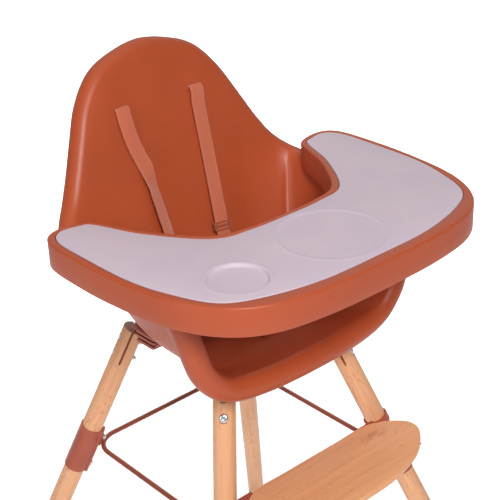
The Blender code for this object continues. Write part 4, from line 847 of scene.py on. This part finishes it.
# ---------------------------------------------------------------- footrest
def footrest():
    """Dished board; its two faces are strips from the back edge to the front edge."""
    base = BOARD_TOP - BOARD_THICKNESS
    loop = mirrored_loop(BOARD_KEYS, 10)
    soft = 0.0022

    def ring(height, inset):
        return [Vector((x, y, height + BOARD_DISH * x * x)) for x, y in inset_loop(loop, inset)]

    rings = [ring(base + soft * (1 - math.sin(a)), soft * (1 - math.cos(a)))
             for a in np.linspace(math.pi / 2, 0, 6)]
    rings += [ring(BOARD_TOP - soft * (1 - math.sin(a)), soft * (1 - math.cos(a)))
              for a in np.linspace(0, math.pi / 2, 6)]
    count = len(rings[0])
    points, faces = loft_data(rings)
    faces = faces[:-2]
    for start in (0, (len(rings) - 1) * count):
        for i in range(count // 2):
            corners = (i, i + 1, count - i - 1, (count - i) % count)
            faces.append(tuple(start + c for c in dict.fromkeys(corners)))
    board = make_object("footrest_plank", points, faces)
    return finish_piece(board, BOARD_BEECH, "chair", ["footrest_board"])


# ---------------------------------------------------------------- harness
def strap(name, keys, nodes, body="chair", steps=10, curl=0.0007):
    """Webbing through (point, width direction) keys: rounded selvedges, slight curl, its own coordinates."""
    line = smooth_path([point for point, _ in keys], steps)
    widths = smooth_path([way for _, way in keys], steps)
    ahead = unit(np.gradient(line, axis=0))
    travelled = np.concatenate([[0.0], np.cumsum(np.linalg.norm(np.diff(line, axis=0), axis=1))])
    half_w, half_t = WEBBING_WIDTH / 2, WEBBING_THICKNESS / 2
    columns = np.linspace(-1.0, 1.0, 13)
    section = [(c * half_w, half_t * (1.0 - 0.45 * abs(c) ** 8)) for c in columns]
    section += [(c * half_w, -half_t * (1.0 - 0.45 * abs(c) ** 8)) for c in columns[::-1]]
    rings, marks = [], []
    for spot, way, side, run in zip(line, ahead, widths, travelled):
        side = side - np.dot(side, way) * way
        side /= np.linalg.norm(side)
        thick = np.cross(way, side)
        bow = curl * math.sin(run * 41.0)
        rings.append([Vector(spot + a * side + (b + bow * (1 - (a / half_w) ** 2)) * thick)
                      for a, b in section])
        marks += [(a, run, 0.0) for a, _ in section]
    made = make_object(name, *loft_data(rings), sharp=60.0)
    places = made.data.attributes.new("webbing_place", "FLOAT_VECTOR", "POINT")
    places.data.foreach_set("vector", np.array(marks, np.float32).ravel())
    return finish_piece(made, LOOKS["webbing"], body, nodes)


def shoulder_strap(side):
    route = [Vector(point) for point in SHOULDER_ROUTES[side]]
    top, foot = (route[i] for i in STRAIGHT_ENDS)
    route[STRAIGHT_ENDS[1]:STRAIGHT_ENDS[1]] = [top.lerp(foot, share) for share in STRAIGHT_KEYS]
    turns = {i: STRAP_ACROSS[side] for i in range(len(route) - 7, len(route) - 2)}
    keys = [(tuple(p), turns.get(i, ACROSS)) for i, p in enumerate(route)]
    return strap("shoulder_webbing_" + side, keys, ["shoulder_strap_" + side])


def strap_frame(side):
    top, foot = (Vector(SHOULDER_ROUTES[side][i]) for i in STRAIGHT_ENDS)
    way = (top - foot).normalized()
    across = Vector(STRAP_ACROSS[side])
    across = (across - across.dot(way) * way).normalized()
    made = Matrix((across, way.cross(across), way)).transposed().to_4x4()
    made.translation = top.lerp(foot, ADJUSTER_AT)
    return made


def adjuster(side):
    """Three-bar slider: a rounded frame with two windows and a slit through its middle where the webbing runs."""
    half_width, deep = WEBBING_WIDTH / 2, 0.0026
    outline = []
    wide, tall, soft = half_width + 0.003, 0.006, 0.0018
    for turn, (x, z) in enumerate(BEND_SIGNS):
        outline += [(x * (wide - soft) + soft * math.cos(math.pi / 2 * (turn + s / 4)),
                     z * (tall - soft) + soft * math.sin(math.pi / 2 * (turn + s / 4))) for s in range(5)]
    faces = [[Vector((x, y, z)) for x, z in outline] for y in (-deep, deep)]
    slider = make_object("slider_" + side, *loft_data(faces))
    cutters = [block((-half_width - 0.0005, -0.0011, -0.02), (half_width + 0.0005, 0.0011, 0.02))]
    cutters += [block((-half_width + 0.0008, -0.02, z - 0.0013), (half_width - 0.0008, 0.0, z + 0.0013))
                for z in (-0.0028, 0.0028)]
    boolean(slider, merged(cutters[1:]))
    boolean(slider, cutters[0])
    soften(slider, 0.00035, 2, 40.0)
    slider.matrix_world = strap_frame(side)
    return finish_piece(slider, LOOKS["buckle_plastic"], "adjuster_" + side,
                        ["strap_adjuster_" + side])


def buckle_point(x, y, z):
    return tuple(Matrix.Translation(BUCKLE_CENTRE) @ Matrix.Rotation(BUCKLE_TILT, 4, "X") @ Vector((x, y, z)))


def lap_straps():
    lengthwise = (0.0, 1.0, 0.0)
    upright = tuple(Matrix.Rotation(BUCKLE_TILT, 3, "X") @ Vector((0, 0, 1)))
    for side, sign in SIDES.items():
        x, y = sign * WAIST_SLOT[0], WAIST_SLOT[1]
        keys = [((x, y, PAN_Z - SEAT_WALL), lengthwise), ((x, y, PAN_Z + 0.006), lengthwise),
                ((x - sign * 0.003, y - 0.001, PAN_Z + 0.022), (0.0, 0.9, 0.35)),
                ((x - sign * 0.016, y - 0.006, PAN_Z + 0.038), (0.0, 0.7, 0.7)),
                (buckle_point(sign * 0.0470, 0.0028, 0.0), upright)]
        strap("waist_webbing_" + side, keys, ["waist_strap_" + side], curl=0.0)
    y, pan = CROTCH_SLOT_Y, PAN_Z + CROTCH_RISE
    keys = [((0, y, pan - SEAT_WALL - 0.0002), ACROSS), ((0, y, pan + 0.005), ACROSS),
            ((0, y + 0.006, pan + 0.013), ACROSS), ((0, y + 0.022, pan + 0.021), ACROSS),
            (buckle_point(0.0, 0.0, -0.0212), ACROSS)]
    strap("crotch_webbing", keys, ["crotch_strap"], curl=0.0)


# ---------------------------------------------------------------- CAD nodes that keep their shape
def finish_cad_nodes():
    """Materials and softened edges for the CAD nodes that keep their own shape."""
    slots = {entry["node"]: entry["material_slot"] for entry in frame["record"]["subparts"]}
    widths = {"buckle_body": 0.0016, "buckle_button": 0.0005, "tray_latch": 0.0012, "tray_rail": 0.0010,
              "latch_guide": 0.0006, "leg_bracket": 0.0005, "seat_mount_plate": 0.0005}
    for name, node in frame["nodes"].items():
        if node.hide_render:
            continue
        look = LOOKS.get(slots[name], LEG_BEECH)
        node.data.materials.clear()
        node.data.materials.append(look)
        width = next((w for start, w in widths.items() if name.startswith(start)), 0.0004)
        soften(node, width, 3, 35.0, weld=True)


# ---------------------------------------------------------------- stage, light and camera
def stage_and_lights():
    floor_mesh = bpy.data.meshes.new("studio_floor")
    size = 30.0
    corners = [(-size, -size, 0), (size, -size, 0), (size, size, 0), (-size, size, 0)]
    floor_mesh.from_pydata(corners, [], [(0, 1, 2, 3)])
    floor = bpy.data.objects.new("studio_floor", floor_mesh)
    bpy.context.collection.objects.link(floor)
    floor_mesh.materials.append(Look("studio_paper", (0.96, 0.96, 0.96), 0.9).material)
    world = bpy.data.worlds.new("studio")
    world.use_nodes = True
    # A dim studio with one bright wall behind the chair, which the rounded edges mirror.
    tree = world.node_tree
    background = tree.nodes["Background"]
    background.inputs["Color"].default_value = (1.0, 0.99, 0.98, 1.0)
    direction = tree.nodes.new("ShaderNodeTexCoord")
    towards = tree.nodes.new("ShaderNodeVectorMath")
    towards.operation = "DOT_PRODUCT"
    towards.inputs[1].default_value = (0.643, 0.766, 0.0)
    tree.links.new(direction.outputs["Generated"], towards.inputs[0])
    ramp = tree.nodes.new("ShaderNodeMapRange")
    for socket, value in (("From Min", 0.25), ("From Max", 0.85), ("To Min", 0.12), ("To Max", 0.62)):
        ramp.inputs[socket].default_value = value
    tree.links.new(towards.outputs["Value"], ramp.inputs["Value"])
    tree.links.new(ramp.outputs["Result"], background.inputs["Strength"])
    bpy.context.scene.world = world
    for name, place, aim, size, power in (
            ("key", (-1.20, -2.15, 2.55), (0.0, 0.0, 0.65), 0.9, 76.0),
            ("left", (-2.7, -0.4, 1.5), (0.0, 0.0, 0.7), 0.9, 15.0)):
        light(name, "AREA", place, aim, power).size = size
    light("ceiling", "SUN", (0.3, 0.3, 3.0), (0.0, 0.0, 0.0), 0.55).angle = math.radians(70.0)
    # The spots light the paper behind the chair and miss the chair itself.
    for name, place, power in (("paper_near", (0.85, 1.05, 1.6), 130.0), ("paper_middle", (1.6, 2.0, 2.2), 170.0),
                               ("paper_far", (2.7, 3.5, 2.4), 300.0)):
        spot = light(name, "SPOT", place, (place[0], place[1], 0.0), power)
        spot.spot_size = math.radians(104.0)
        spot.spot_blend = 1.0
        spot.shadow_soft_size = 0.4


def light(name, kind, place, aim, power):
    lamp = bpy.data.lights.new(name, kind)
    lamp.energy = power
    made = bpy.data.objects.new(name, lamp)
    made.location = place
    made.rotation_euler = (Vector(aim) - Vector(place)).to_track_quat("-Z", "Y").to_euler()
    bpy.context.collection.objects.link(made)
    return lamp


def make_camera():
    azimuth, elevation, roll = (math.radians(angle) for angle in CAMERA_ANGLES)
    back = Vector((math.sin(azimuth) * math.cos(elevation), -math.cos(azimuth) * math.cos(elevation),
                   math.sin(elevation)))
    right = Vector((math.cos(azimuth), math.sin(azimuth), 0.0))
    up = back.cross(right)
    tilted_right = math.cos(roll) * right + math.sin(roll) * up
    tilted_up = -math.sin(roll) * right + math.cos(roll) * up
    data = bpy.data.cameras.new("camera")
    data.sensor_width, data.lens = CAMERA_SENSOR, CAMERA_LENS
    data.shift_x, data.shift_y = CAMERA_SHIFT
    camera = bpy.data.objects.new("camera", data)
    camera.matrix_world = Matrix((tilted_right, tilted_up, back)).transposed().to_4x4()
    camera.location = Vector(CAMERA_TARGET) + back * CAMERA_DISTANCE
    bpy.context.collection.objects.link(camera)
    bpy.context.scene.camera = camera


def main():
    make_camera()
    frames = {corner: leg_frame(*sides) for corner, sides in CORNERS.items()}
    seat_moulding()
    tray_moulding()
    mat_sheet()
    for corner in CORNERS:
        leg_pieces(corner, frames[corner])
        sleeve(corner, frames[corner])
        for which in BOLT_DEPTHS:
            leg_bolt(corner, which, frames[corner])
    ring_rod(frames)
    footrest()
    for side in SIDES:
        shoulder_strap(side)
        adjuster(side)
    lap_straps()
    finish_cad_nodes()
    stage_and_lights()
    bpy.context.scene.view_settings.view_transform = "Standard"


main()
